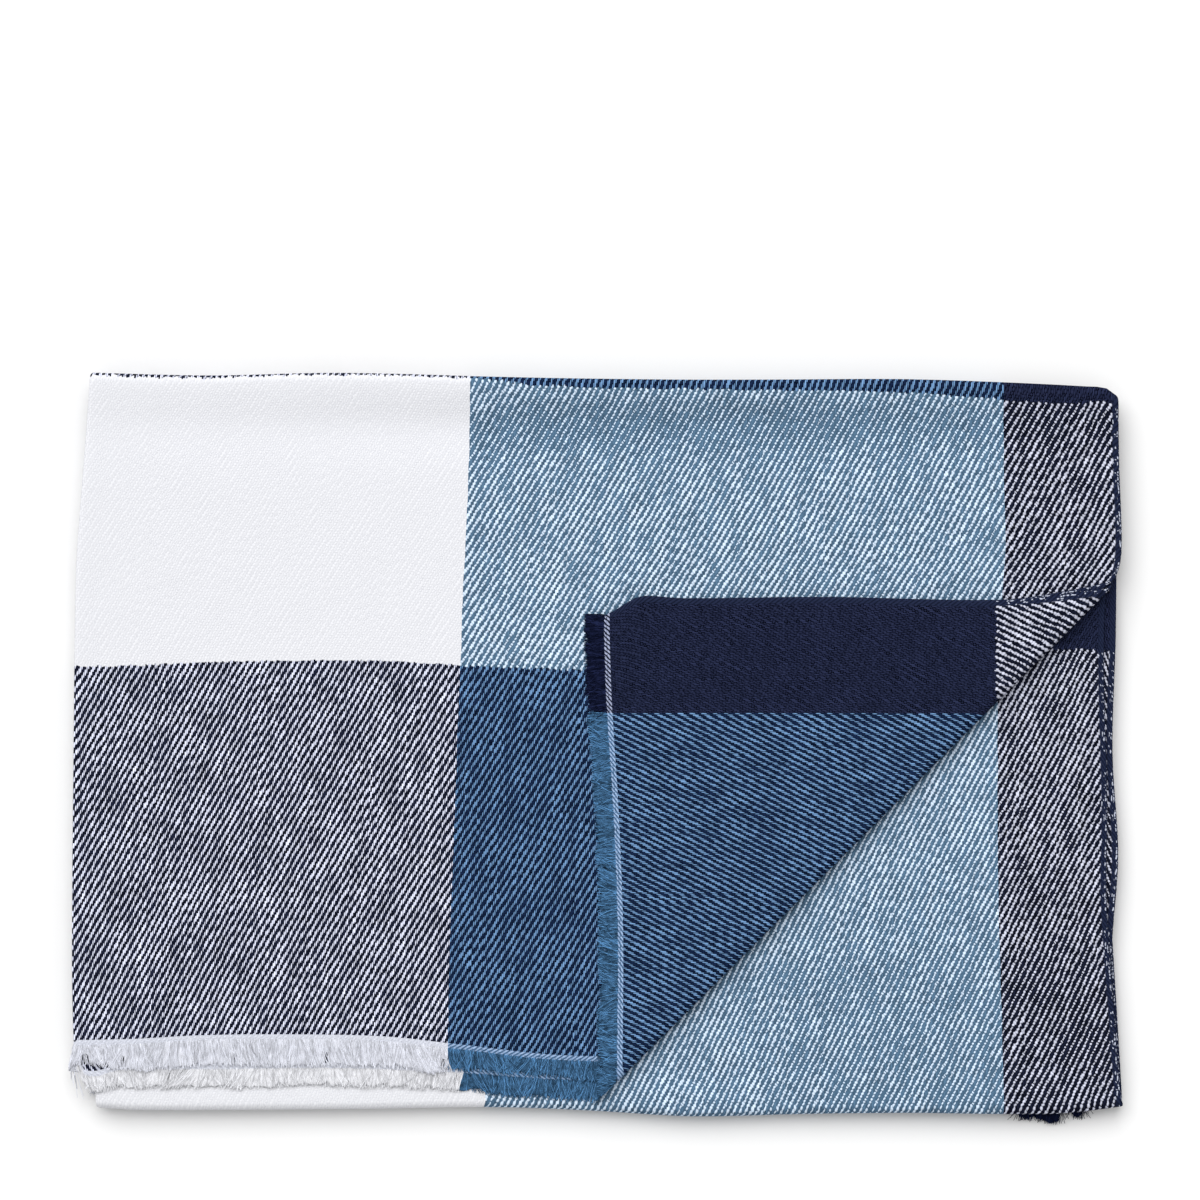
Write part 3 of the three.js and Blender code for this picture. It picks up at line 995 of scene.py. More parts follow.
@dataclass(frozen=True)
class Twill:
    """The 2/2 twill: each end floats over two picks and under two, a step further on each end.

    Lengths are in millimetres, and slips in picks. A pair of roundnesses is how fast a float
    falls away across and along it.
    """

    end_pitch: float = 0.99
    pick_pitch: float = 1.74
    crossed: float = 2.0
    repeat: float = 4.0
    wander: float = 0.55
    wander_size: float = 14.0
    wander_apart: float = 7.3
    wander_from: tuple[float, float] = (1.9, 5.3)
    end_slip: float = 0.9
    end_slip_size: float = 35.0
    ends_apart: float = 0.43
    end_jitter: float = 0.22
    warp_roundness: tuple[float, float] = (1.45, 0.8)
    weft_roundness: tuple[float, float] = (0.75, 1.0)
    outline: tuple[float, float] = (1.28, 0.82)
    relief_share: float = 0.5
    lean: float = 0.5
    # How far the painted shade narrows the weft floats, so that the cloth shows darker there.
    shade_narrowing: float = 1.5
    streak_ways: tuple[float, float] = (-1.5, 1.0)
    fine_streak: tuple[float, float, float] = (2.0, 16.0, 3.6)
    broad_streak: tuple[float, float, float] = (8.0, 34.0, 2.4)

    def group(self) -> Group:
        """Builds the group that draws one float of yarn after another."""
        outputs = ("Warp Up", "Yarn", "Relief", "End Place", "Pick Place", "Chance")
        made = Group(
            "Two by two twill",
            {"Cloth": "Vector", "Side": "Float", "Pinch": "Float"},
            dict.fromkeys(outputs, "Float"),
        )
        nodes, cloth = made.nodes, made.entry["Cloth"]
        u, v, _ = nodes.part(cloth)
        end, in_end = self.cell(nodes, self.swayed(nodes, cloth, u, 0.0), self.end_pitch)
        swayed_v = self.swayed(nodes, cloth, v, self.wander_apart)
        slipped = nodes.line(self.slip(nodes, end, v), self.pick_pitch * MM, swayed_v)
        pick, in_pick = self.cell(nodes, slipped, self.pick_pitch)
        turned_over = nodes.math("LESS_THAN", made.entry["Side"], 0.0)
        count = nodes.line(turned_over, self.crossed, nodes.math("ADD", end, pick))
        step = nodes.math("FLOORED_MODULO", count, self.repeat)
        warp_up = nodes.math("LESS_THAN", step, self.crossed - 0.5)
        weft_step = nodes.math("SUBTRACT", step, self.crossed)
        warp_along = self.leaning(nodes, step, in_pick, in_end)
        weft_along = self.leaning(nodes, weft_step, in_end, in_pick)
        warp_far = self.far(nodes, in_end, warp_along, self.warp_roundness)
        weft_far = self.far(nodes, in_pick, weft_along, self.weft_roundness)
        usual = nodes.choose(warp_up, weft_far, warp_far)
        way = nodes.choose(warp_up, *self.streak_ways)
        # Painted shade: the weft floats narrow where the painted shade input is high, so the cloth
        # shows darker.
        shade_narrowed = nodes.choose(warp_up, self.shade_narrowing, 0.0)
        spread = nodes.line(self.streaks(nodes, u, v), way, 1.0)
        spread = nodes.line(made.entry["Pinch"], shade_narrowed, spread)
        far = nodes.times(usual, spread)
        fall = nodes.choose(self.relief_share, usual, far)
        line = nodes.math("FLOOR", nodes.math("DIVIDE", count, self.repeat))
        which = nodes.join(nodes.choose(warp_up, pick, end), line, warp_up)
        made.give(
            Warp_Up=warp_up,
            Yarn=nodes.ease(far, *self.outline),
            Relief=nodes.math("SUBTRACT", 1.0, fall, clamp=True),
            End_Place=nodes.times(nodes.math("ADD", end, 0.5), self.end_pitch * MM),
            Pick_Place=nodes.times(nodes.math("ADD", pick, 0.5), self.pick_pitch * MM),
            Chance=nodes.chance(which),
        )
        return made

    def leaning(self, nodes: Nodes, step: Given, along: Given, across: Given) -> Socket:
        """How far along its float a place is, where the float's ends lean with the twill line.

        Args:
            nodes: the tree.
            step: the whole yarns from the float's start.
            along: the share of the way across the yarn that it crosses.
            across: the share of the way across the float's own yarn.

        Returns:
            0 at the float's start and 1 at its end.
        """
        leant = nodes.line(across, self.lean, -self.lean / 2)
        place = nodes.math("ADD", nodes.math("ADD", step, along), leant)
        return nodes.math("DIVIDE", place, self.crossed)

    @staticmethod
    def cell(nodes: Nodes, place: Given, pitch: float) -> tuple[Socket, Socket]:
        """Counts the yarns up to a place.

        Args:
            nodes: the tree.
            place: in metres.
            pitch: from one yarn to the next, in millimetres.

        Returns:
            The number of the yarn, and the share of the way across it.
        """
        yarns = nodes.math("DIVIDE", place, pitch * MM)
        return nodes.math("FLOOR", yarns), nodes.math("FRACT", yarns)

    def swayed(self, nodes: Nodes, cloth: Given, place: Given, apart: float) -> Socket:
        """Moves a place a little, differently all over the cloth.

        Args:
            nodes: the tree.
            cloth: the place on the cloth.
            place: its part that moves.
            apart: a step that gives another movement.

        Returns:
            The moved part.
        """
        along, up = self.wander_from
        given = (cloth, (apart, along + apart, up))
        moved = nodes.add("ShaderNodeVectorMath", given, operation="ADD").outputs[0]
        sway = nodes.centred(nodes.noise(moved, METRE / self.wander_size))
        return nodes.line(sway, 2 * self.wander * MM, place)

    def slip(self, nodes: Nodes, end: Given, v: Given) -> Socket:
        """How far each end's floats lie out of step, in picks."""
        jitter = nodes.centred(nodes.chance(nodes.join(end, 0.5, 0.5)))
        along = nodes.math("DIVIDE", v, self.end_slip_size * MM)
        slow = nodes.noise(nodes.join(nodes.times(end, self.ends_apart), along), 1.0)
        slow = nodes.times(nodes.centred(slow), 2 * self.end_slip)
        return nodes.line(jitter, 2 * self.end_jitter, slow)

    def streaks(self, nodes: Nodes, u: Given, v: Given) -> Given:
        """Where the ends lie slack or tight, in streaks along the warp."""
        total: Given = 0.0
        for width, length, amount in (self.fine_streak, self.broad_streak):
            across = nodes.math("DIVIDE", u, width * MM)
            along = nodes.math("DIVIDE", v, length * MM)
            streak = nodes.noise(nodes.join(across, along, width), 1.0, 1.0)
            total = nodes.line(nodes.centred(streak), amount, total)
        return total

    @staticmethod
    def far(nodes: Nodes, across: Given, along: Given, roundness: tuple[float, float]) -> Given:
        """How far a place is from the middle of its float.

        Args:
            nodes: the tree.
            across: the share of the way across the yarn.
            along: the share of the way along the float.
            roundness: how fast the float ends across and along.

        Returns:
            0 in the middle, and 1 at the float's outline.
        """
        total: Given = 0.0
        for share, weight in zip((across, along), roundness):
            away = nodes.line(share, 2.0, -1.0)
            total = nodes.line(nodes.times(away, away), weight, total)
        return total


@dataclass(frozen=True)
class Edging:
    """The last white picks at a cut end, beaten close, which show as short slanted stitches."""

    width: float = 3.7
    past_edge: float = 3.0
    spacing: float = 3.3
    slant: float = 2.2
    wobble: float = 0.8
    wobble_scale: float = 260.0
    wobble_from: float = 3.3
    outline: tuple[float, float] = (0.38, 0.14)
    length: float = 1776.6

    def group(self) -> Group:
        """Builds the group that gives the edging's area and its stitches."""
        made = Group(
            "Stitched edge", {"Cloth": "Vector"}, {"Inside": "Float", "Stitch": "Float"}
        )
        nodes = made.nodes
        u, v, _ = nodes.part(made.entry["Cloth"])
        inwards = nodes.math("ADD", nodes.from_edge(v, self.length), self.past_edge * MM)
        wobble = nodes.join(nodes.times(u, self.wobble_scale), self.wobble_from)
        turns = nodes.math("DIVIDE", u, self.spacing * MM)
        turns = nodes.math("ADD", turns, nodes.math("DIVIDE", inwards, self.slant * MM))
        turns = nodes.math("ADD", turns, nodes.times(nodes.noise(wobble, 1.0), self.wobble))
        made.give(
            Inside=nodes.math("LESS_THAN", inwards, self.width * MM),
            Stitch=nodes.ease(nodes.off_middle(turns), *self.outline),
        )
        return made


@dataclass(frozen=True)
class Selvedge:
    """The woven side edges, where the last ends lie close and cover the weft like a cord."""

    width: float = 3.5
    blend: float = 0.8
    twist: float = 3.3
    slant: float = 2.4
    groove: tuple[float, float] = (0.5, 0.1)
    speck_row: float = 1.3
    speck_step: float = 2.4
    speck_slant: float = 0.35
    row_shift: float = 0.5
    speck_share: tuple[float, float] = (0.6, 0.08)
    speck_outline: tuple[float, float] = (0.14, 0.04)
    speck_wander: float = 1.3
    wander_scale: float = 300.0

    def group(self, whole: float) -> Group:
        """Builds the group that gives the cord's area, its twist and the weft's turns on it.

        Args:
            whole: the cloth's width, in millimetres.

        Returns:
            The group.
        """
        outputs = dict.fromkeys(("Inside", "Twist", "Weft"), "Float")
        made = Group("Selvedge cord", {"Cloth": "Vector"}, outputs)
        nodes, cloth = made.nodes, made.entry["Cloth"]
        u, v, _ = nodes.part(cloth)
        inwards = nodes.from_edge(u, whole)
        turns = nodes.math("DIVIDE", v, self.twist * MM)
        turns = nodes.math("ADD", turns, nodes.math("DIVIDE", inwards, self.slant * MM))
        made.give(
            Inside=nodes.ease(inwards, (self.width + self.blend) * MM, self.width * MM),
            Twist=nodes.ease(nodes.off_middle(turns), *self.groove),
            Weft=self.specks(nodes, cloth, v, inwards),
        )
        return made

    def specks(self, nodes: Nodes, cloth: Given, v: Given, inwards: Given) -> Socket:
        """Draws the weft's turns as scattered specks, the more of them the nearer the edge.

        Args:
            nodes: the tree.
            cloth: the place on the cloth.
            v: its part along the cloth.
            inwards: how far inside the side edge it is.

        Returns:
            1 on a speck.
        """
        wander = nodes.noise(cloth, self.wander_scale, 1.0)
        across = nodes.math("DIVIDE", inwards, self.speck_row * MM)
        across = nodes.line(wander, self.speck_wander, across)
        row = nodes.math("FLOOR", across)
        along = nodes.math("DIVIDE", v, self.speck_step * MM)
        along = nodes.line(across, self.speck_slant, along)
        along = nodes.line(wander, 2 * self.speck_wander, along)
        along = nodes.line(row, self.row_shift, along)
        shown = nodes.chance(nodes.join(nodes.math("FLOOR", along), row))
        off: Given = 0.0
        for part in (across, along):
            away = nodes.centred(nodes.math("FRACT", part))
            off = nodes.line(away, away, off)
        share = nodes.choose(nodes.ease(inwards, 0.0, self.width * MM), *self.speck_share)
        speck = nodes.math("LESS_THAN", shown, share)
        return nodes.times(speck, nodes.ease(off, *self.speck_outline))


@dataclass(frozen=True)
class WovenFinish:
    """The finish of the cloth: dyed cotton yarns in a twill, a little uneven and hairy, with
    painted shade on and between the floats and painted light reflected between neighbouring yarns.

    A pair of cord_shade, and of beside_light, is a slope and a start.
    """

    # How much of the lower yarn's colour is painted onto the upper yarn as reflected light, the
    # more on dark yarns.
    bounce: float = 0.22
    bright_bounce: float = 0.55
    dark_bounce: float = 1.6
    dark_slope: float = -1.45
    low_shade: float = 0.68
    relief_shade: float = 0.72
    weft_shade: float = 0.66
    weft_lift: float = 0.8
    beside_light: tuple[float, float] = (-3.06, -0.79)
    # How far the floats' low parts take on the hues of both yarns, as painted reflected light.
    tint: float = 0.15
    richness: float = 0.3
    fill: float = 2.0
    fill_power: float = 1.8
    most_filled: float = 0.97
    hollow: tuple[float, float] = (0.7, 1.25)
    # White picks and specks over dark yarns are painted bluer, as light reflected from the blue
    # and navy yarns around them.
    reflected_blue: Colour = (0.84, 0.9, 1.05, 1.0)
    # A dark cord is painted deeper and bluer, as the woven floats are by their painted shade.
    cord_shade_tint: Colour = (0.7, 0.78, 0.95, 1.0)
    cord_shade: tuple[float, float] = (0.6, 0.45)
    cord_pale_from: tuple[float, float] = (0.1, 0.4)
    speck_strength: float = 0.8
    # The share of the warp's colour that is mixed into the stitches' white picks.
    stitch_warp_share: float = 0.3
    pale_cool: Colour = (0.93, 0.955, 1.03, 1.0)
    float_variation: float = 0.34
    # Soft blotches of the size of small puckers, partly uneven wear and partly painted shade of
    # the puckers.
    wear_and_pucker_shade: float = 0.3
    wear_and_pucker_size: float = 17.0
    fibre_variation: float = 0.6
    fibre_size: float = 0.5
    fibre_relief: float = 0.35
    relief: float = 0.4
    steepness: tuple[float, float] = (0.7, 0.5)
    roughness: float = 0.95

    def material(
        self, twill: Group, stripes: Group, edging: Group, selvedge: Group
    ) -> bpy.types.Material:
        """Builds the material.

        Args:
            twill: the weave's group.
            stripes: the stripes' group.
            edging: the group of the stitched edge.
            selvedge: the group of the side edges' cord.

        Returns:
            The material.
        """
        made, nodes = new_material("Woven cotton")
        place = nodes.add("ShaderNodeUVMap", uv_map="cloth").outputs[0]
        # The painted shade of the trough and of the front right, which the weave turns into
        # narrower weft floats.
        side, pinch = nodes.attribute("side"), nodes.attribute("pinch")
        weave = twill.place(nodes, Cloth=place, Side=side, Pinch=pinch)
        dyes = stripes.place(nodes, End_Place=weave["End Place"], Pick_Place=weave["Pick Place"])
        warp, weft = dyes["Warp Colour"], dyes["Weft Colour"]
        own = nodes.mix(weave["Warp Up"], weft, warp)
        other = nodes.mix(weave["Warp Up"], warp, weft)
        fibre = nodes.noise(place, METRE / self.fibre_size)
        # Blotches of wear and of painted pucker shade, added to the fibres' noise.
        worn_and_shaded = nodes.centred(nodes.noise(place, METRE / self.wear_and_pucker_size))
        grain_and_shade = nodes.math("ADD", fibre, nodes.times(worn_and_shaded, self.wear_and_pucker_shade))
        colour = self.float_shaded(nodes, own, other, weave, grain_and_shade)
        cord = selvedge.place(nodes, Cloth=place)
        colour = nodes.mix(cord["Inside"], colour, self.cord(nodes, warp, weft, cord))
        edge = edging.place(nodes, Cloth=place)
        colour = nodes.mix(edge["Inside"], colour, self.stitched(nodes, warp, edge["Stitch"]))
        bump = {
            "Distance": self.relief * MM,
            "Strength": nodes.choose(self.filled(nodes, own, other), *self.steepness),
            "Height": nodes.line(fibre, self.fibre_relief, weave["Relief"]),
        }
        normal = nodes.add("ShaderNodeBump", bump).outputs[0]
        nodes.surface(colour, self.roughness, Normal=normal)
        return made

    def cord(
        self, nodes: Nodes, warp: Socket, weft: Socket, cord: bpy.types.NodeOutputs
    ) -> Socket:
        """Colours the selvedge's cord.

        Args:
            nodes: the tree.
            warp: the warp's colour.
            weft: the weft's colour.
            cord: the selvedge group's outputs.

        Returns:
            The colour.
        """
        # Painted shade: the cord darkens in its twist's grooves, and a dark cord is deepened as
        # the woven floats are.
        rope = nodes.shaded(warp, nodes.line(cord["Twist"], *self.cord_shade))
        is_pale = nodes.ease(nodes.level(warp), *self.cord_pale_from)
        rope = nodes.mix(is_pale, nodes.tinted(rope, self.cord_shade_tint), rope)
        strength = nodes.times(cord["Weft"], self.speck_strength)
        # The weft's specks on a dark cord are painted bluer, as light reflected from it.
        return nodes.mix(strength, rope, nodes.tinted(weft, self.reflected_blue))

    def stitched(self, nodes: Nodes, warp: Socket, stitch: Socket) -> Socket:
        """Colours the stitched edge: white picks over the warp.

        Args:
            nodes: the tree.
            warp: the warp's colour.
            stitch: 1 on a stitch.

        Returns:
            The colour.
        """
        pick = nodes.mix(self.stitch_warp_share, YarnColours().white, warp)
        # Over a dark warp the picks are painted bluer, with light reflected from it.
        blued_pick, pale = nodes.tinted(pick, self.reflected_blue), nodes.tinted(pick, self.pale_cool)
        return self.over(nodes, nodes.mix(nodes.pale(warp), blued_pick, pale), warp, stitch)

    def over(self, nodes: Nodes, own: Given, other: Given, yarn: Given) -> Socket:
        """Lays one yarn over another, with light reflected from the other painted on it in the
        other's colour, and painted shade between them.

        Args:
            nodes: the tree.
            own: the upper yarn's colour.
            other: the lower yarn's colour.
            yarn: 1 on the upper yarn, 0 beside it.

        Returns:
            The colour.
        """
        dark = nodes.line(nodes.level(own), self.dark_slope, 1.0, clamp=True)
        share = nodes.line(dark, self.dark_bounce, self.bright_bounce)
        bounce = nodes.line(nodes.level(other), share, self.bounce)
        lit = nodes.mix(bounce, own, nodes.tinted(own, nodes.hue(other)))
        hollow = nodes.choose(self.filled(nodes, own, other), *self.hollow)
        return nodes.mix(yarn, nodes.shaded(nodes.tinted(own, other), hollow), lit)

    def filled(self, nodes: Nodes, own: Given, other: Given) -> Socket:
        """How far light fills the hollows between two yarns: 1 where both are white."""
        both = nodes.level(nodes.tinted(own, other))
        level = nodes.math("MULTIPLY", both, self.fill, clamp=True)
        return nodes.times(nodes.math("POWER", level, self.fill_power), self.most_filled)

    def float_shaded(
        self,
        nodes: Nodes,
        own: Socket,
        other: Socket,
        weave: bpy.types.NodeOutputs,
        fibre: Socket,
    ) -> Socket:
        """Paints shade on each float and the hues of both yarns into its low parts as reflected
        light, but little shade where white lies by white and light fills the hollows.

        Args:
            nodes: the tree.
            own: the upper yarn's colour.
            other: the lower yarn's colour.
            weave: the twill's outputs.
            fibre: the noise of single fibres, with blotches of wear and of painted pucker shade.

        Returns:
            The shaded colour.
        """
        relief, upper, lower = weave["Relief"], nodes.level(own), nodes.level(other)
        weft = nodes.line(lower, self.weft_lift, self.weft_shade)
        weft = nodes.math("MINIMUM", weft, 1.0)
        crown = nodes.line(relief, self.relief_shade, self.low_shade)
        crown = nodes.times(crown, nodes.choose(weave["Warp Up"], weft, 1.0))
        lighter = nodes.math("SUBTRACT", lower, upper, clamp=True)
        dimming = nodes.line(upper, *self.beside_light)
        crown = nodes.times(crown, nodes.line(lighter, dimming, 1.0))
        shade = nodes.line(nodes.centred(weave["Chance"]), self.float_variation, crown)
        shade = nodes.line(nodes.centred(fibre), 2 * self.fibre_variation, shade)
        shade = nodes.choose(self.filled(nodes, own, other), shade, 1.0)
        colour, own_hue = self.over(nodes, own, other, weave["Yarn"]), nodes.hue(own)
        # Painted reflected light: the float's low parts take on the hues of both yarns.
        deep = nodes.tinted(colour, nodes.tinted(own_hue, nodes.hue(other)))
        depth = nodes.math("SUBTRACT", 1.0, relief, clamp=True)
        colour = nodes.mix(nodes.times(depth, self.tint), colour, deep)
        richer = nodes.tinted(colour, own_hue)
        return nodes.shaded(nodes.mix(nodes.times(lighter, self.richness), colour, richer), shade)


@dataclass(frozen=True)
class FringeFinish:
    """The finish of the loose yarn ends, which keep the colours of the warp, with painted shade
    between the hairs and under them.

    A pair is a value for the dark dyes and one for the white.
    """

    # How strongly the streaks paint the shadows between the hairs, and how much each strand gets a
    # shade of its own.
    streak_shadow: tuple[float, float] = (4.4, 1.15)
    strand_variation: tuple[float, float] = (2.4, 0.7)
    strands_apart: float = 90000.0
    matted_shade: tuple[float, float] = (0.68, 0.92)
    loose_lit: tuple[float, float] = (1.26, 1.04)
    # The dark yarns are painted darker and deeper, for the shade inside the dense fringe.
    dense_shade: tuple[float, float] = (0.55, 0.94)
    least_shade: float = 0.3
    deepening: float = 0.75
    bend: float = 0.9
    streak_width: float = 0.9
    streak_steps: float = 3.6
    streak_detail: float = 3.0
    fold_place: float = 650.0
    outer_tint: Colour = (0.985, 1.0, 1.05, 1.0)
    inner_tint: Colour = (1.06, 1.06, 1.06, 1.0)
    roughness: float = 0.9

    def material(self, stripes: Group) -> bpy.types.Material:
        """Builds the material.

        Args:
            stripes: the stripes' group.

        Returns:
            The material.
        """
        made, nodes = new_material("Loose cotton ends")
        end_at = nodes.attribute("end_at")
        yarn = stripes.place(nodes, End_Place=end_at)["Warp Colour"]
        pale = nodes.pale(yarn)
        deep = nodes.tinted(yarn, nodes.hue(yarn))
        shade = self.shade(nodes, end_at, pale)
        colour = nodes.shaded(nodes.mix(self.deepening, yarn, deep), shade)
        inner = nodes.math("GREATER_THAN", end_at, self.fold_place * MM)
        tinted = nodes.tinted(colour, nodes.mix(inner, self.outer_tint, self.inner_tint))
        flat = nodes.add("ShaderNodeNewGeometry").outputs["Normal"]
        raised = (flat, (0.0, 0.0, self.bend))
        raised = nodes.add("ShaderNodeVectorMath", raised, operation="ADD").outputs[0]
        normal = nodes.add("ShaderNodeVectorMath", (raised,), operation="NORMALIZE").outputs[0]
        nodes.surface(nodes.mix(pale, colour, tinted), self.roughness, Normal=normal)
        return made

    def shade(self, nodes: Nodes, end_at: Socket, pale: Socket) -> Socket:
        """Paints shade: darker streaks for the shadows between the hairs, a shade for each strand,
        and the matted fluff under the hairs darker than the loose hairs on top.

        Args:
            nodes: the tree.
            end_at: the yarn's place across the cloth.
            pale: whether it is white.

        Returns:
            The shade.
        """
        across = nodes.math("DIVIDE", end_at, self.streak_width * MM)
        along = nodes.times(nodes.attribute("along"), self.streak_steps)
        streak = nodes.noise(nodes.join(across, along), 1.0, self.streak_detail)
        shade = nodes.line(nodes.centred(streak), nodes.choose(pale, *self.streak_shadow), 1.0)
        strand = nodes.chance(nodes.join(nodes.times(end_at, self.strands_apart), 0.0))
        vary = nodes.choose(pale, *self.strand_variation)
        shade = nodes.line(nodes.centred(strand), vary, shade)
        shade = nodes.math("MAXIMUM", shade, self.least_shade)
        shade = nodes.times(shade, nodes.choose(pale, *self.dense_shade))
        matted = nodes.choose(pale, *self.matted_shade)
        loose = nodes.choose(pale, *self.loose_lit)
        return nodes.times(shade, nodes.choose(nodes.attribute("matted"), loose, matted))


@dataclass
class WovenCloth:
    """The throw's one sheet of cloth, with the packet's folds, meshed in steps of millimetres."""

    packet: Packet
    past_edge: float = 3.0
    thickness: float = 2.0
    top_step: float = 6.0
    second_step: float = 9.0
    hidden_step: float = 45.0
    turn_steps: int = 8
    corner_steps: int = 10
    rim_steps: int = 3
    fold_step: float = 3.0
    fold_steps: int = 10
    cut_reach: float = 30.0
    cut_touch: float = 1e-4
    elsewhere: float = -1000.0
    touch: float = 0.01

    def lines_across(self) -> list[float]:
        """The mesh lines along the cloth, by their places across it."""
        packet, inset = self.packet, self.thickness / 2
        turned = packet.across_run + packet.across_turn
        near = turned + self.fold_step * self.fold_steps
        far = packet.cloth_width - inset
        return [
            inset,
            *even_steps(inset, packet.across_run, self.top_step),
            *even_steps(packet.across_run, turned, packet.across_turn / self.turn_steps),
            *even_steps(turned, near, self.fold_step),
            *even_steps(near, far, self.top_step),
        ]

    def lines_along(self) -> list[float]:
        """The mesh lines across the cloth, by their places along it."""
        packet, inset = self.packet, self.thickness / 2
        places = [inset - self.past_edge]
        start = 0.0
        sizes = (self.top_step, self.second_step, self.hidden_step, self.hidden_step)
        for run, size in zip(packet.runs, sizes):
            end = start + run
            last = end + packet.along_turn > packet.cloth_length
            places += even_steps(places[-1], end + self.past_edge - inset if last else end, size)
            start = end + packet.along_turn
            if not last:
                places += even_steps(end, start, packet.along_turn / self.turn_steps)
        return places

    def flat_sheet(self) -> tuple[Array, Array, list, list]:
        """Meshes the flat cloth, with extra lines where it bends round the turned corner.

        Returns:
            The places across and along of its points, its faces, and its border as pairs of
            points.
        """
        across, along = np.array(self.lines_across()), np.array(self.lines_along())
        u, v = (grid.ravel() for grid in np.meshgrid(across, along, indexing="ij"))
        x, y, _, _, _, first = self.packet.plan(u, v, np.zeros_like(u))
        x, y = np.where(first, x, self.elsewhere), np.where(first, y, 0)
        plan = np.stack([x, y, np.zeros_like(x)], axis=-1)
        sheet = bmesh.new()
        u_layer = sheet.verts.layers.float.new("u")
        v_layer = sheet.verts.layers.float.new("v")
        points = [sheet.verts.new(point) for point in plan]
        for point, at_u, at_v in zip(points, u, v):
            point[u_layer], point[v_layer] = at_u, at_v
        rows = len(along)
        for i in range(len(across) - 1):
            for j in range(rows - 1):
                a, b = i * rows + j, (i + 1) * rows + j
                sheet.faces.new((points[a], points[a + 1], points[b + 1], points[b]))
        self.cut_at_corner(sheet)
        sheet.verts.index_update()
        found = np.array([(point[u_layer], point[v_layer]) for point in sheet.verts])
        faces = [[point.index for point in face.verts] for face in sheet.faces]
        border = []
        for edge in sheet.edges:
            if edge.is_boundary:
                loop = edge.link_loops[0]
                border.append((loop.vert.index, loop.link_loop_next.vert.index))
        sheet.free()
        return found[:, 0], found[:, 1], faces, border

    def cut_at_corner(self, sheet: bmesh.types.BMesh) -> None:
        """Adds mesh lines along the diagonal fold to a sheet laid out in plan."""
        packet = self.packet
        for step in range(self.corner_steps + 1):
            past = packet.along_turn * step / self.corner_steps
            line = packet.corner_line + (past - packet.turn_nose) * math.sqrt(2)
            corners = [(face, face.verts[0].co) for face in sheet.faces]
            near = [face for face, at in corners if abs(at.x - at.y - line) < self.cut_reach]
            edges = {edge for face in near for edge in face.edges}
            points = {point for face in near for point in face.verts}
            bmesh.ops.bisect_plane(
                sheet,
                geom=[*points, *edges, *near],
                dist=self.cut_touch,
                plane_co=(line, 0, 0),
                plane_no=(math.sqrt(0.5), -math.sqrt(0.5), 0),
            )
        many = [face for face in sheet.faces if len(face.verts) > 4]
        bmesh.ops.triangulate(sheet, faces=many)

    def outwards(self, places: Array, rim: Array) -> Array:
        """Which way is out at each rim point: -1 at the least place, 1 at the greatest."""
        low, high = places.min() + self.touch, places.max() - self.touch
        return np.where(places[rim] < low, -1.0, 0.0) + (places[rim] > high)

    def build(self, finish: bpy.types.Material, shift: Array) -> bpy.types.Object:
        """Makes the folded cloth.

        Args:
            finish: its material.
            shift: from the packet's corner to the frame's origin, in millimetres.

        Returns:
            The object.
        """
        u, v, faces, border = self.flat_sheet()
        half = self.thickness / 2
        rim = np.array(sorted({point for pair in border for point in pair}))
        out_u = self.outwards(u, rim)
        out_v = self.outwards(v, rim)
        size = np.hypot(out_u, out_v)
        us, vs, ws = [u], [v], [np.full(len(u), half)]
        for step in range(1, self.rim_steps + 1):
            angle = math.pi * step / (self.rim_steps + 1)
            us.append(u[rim] + half * math.sin(angle) * out_u / size)
            vs.append(v[rim] + half * math.sin(angle) * out_v / size)
            ws.append(np.full(len(rim), half * math.cos(angle)))
        us, vs, ws = [*us, u], [*vs, v], [*ws, np.full(len(u), -half)]
        all_u, all_v, all_w = (np.concatenate(parts) for parts in (us, vs, ws))
        points = self.packet.fold(all_u, all_v, all_w) + shift
        points[:, 2] = np.maximum(points[:, 2], 0)
        count, ring = len(u), {point: place for place, point in enumerate(rim)}
        bottom = count + self.rim_steps * len(rim)
        shell = [list(face) for face in faces]
        shell += [[bottom + point for point in reversed(face)] for face in faces]
        for a, b in border:
            rows = [(a, b)]
            for step in range(self.rim_steps):
                start = count + step * len(rim)
                rows.append((start + ring[a], start + ring[b]))
            rows.append((bottom + a, bottom + b))
            shell += [[p, q, t, s] for (p, s), (q, t) in zip(rows, rows[1:])]
        mesh = bpy.data.meshes.new("throw_cloth")
        mesh.from_pydata((points * MM).tolist(), [], shell)
        mesh.polygons.foreach_set("use_smooth", np.ones(len(mesh.polygons), bool))
        stripe_v = self.packet.stripe_place(all_u, all_v)
        self.mark(mesh, all_u * MM, stripe_v * MM, all_w / half)
        # Keeps the painted shade, of the trough and darker towards the front right, for the weave.
        pinch = self.packet.relief.pinch(*(points - shift)[:, :2].T)
        keep(mesh, "pinch", pinch)
        mesh.materials.append(finish)
        return put("throw_cloth", mesh)

    @staticmethod
    def mark(mesh: bpy.types.Mesh, u: Array, v: Array, side: Array) -> None:
        """Keeps each point's place on the flat cloth and its side of it."""
        corner_points = np.zeros(len(mesh.loops), int)
        mesh.loops.foreach_get("vertex_index", corner_points)
        places = np.stack([u[corner_points], v[corner_points]], axis=-1)
        mesh.uv_layers.new(name="cloth").data.foreach_set("uv", places.ravel())
        keep(mesh, "side", side)


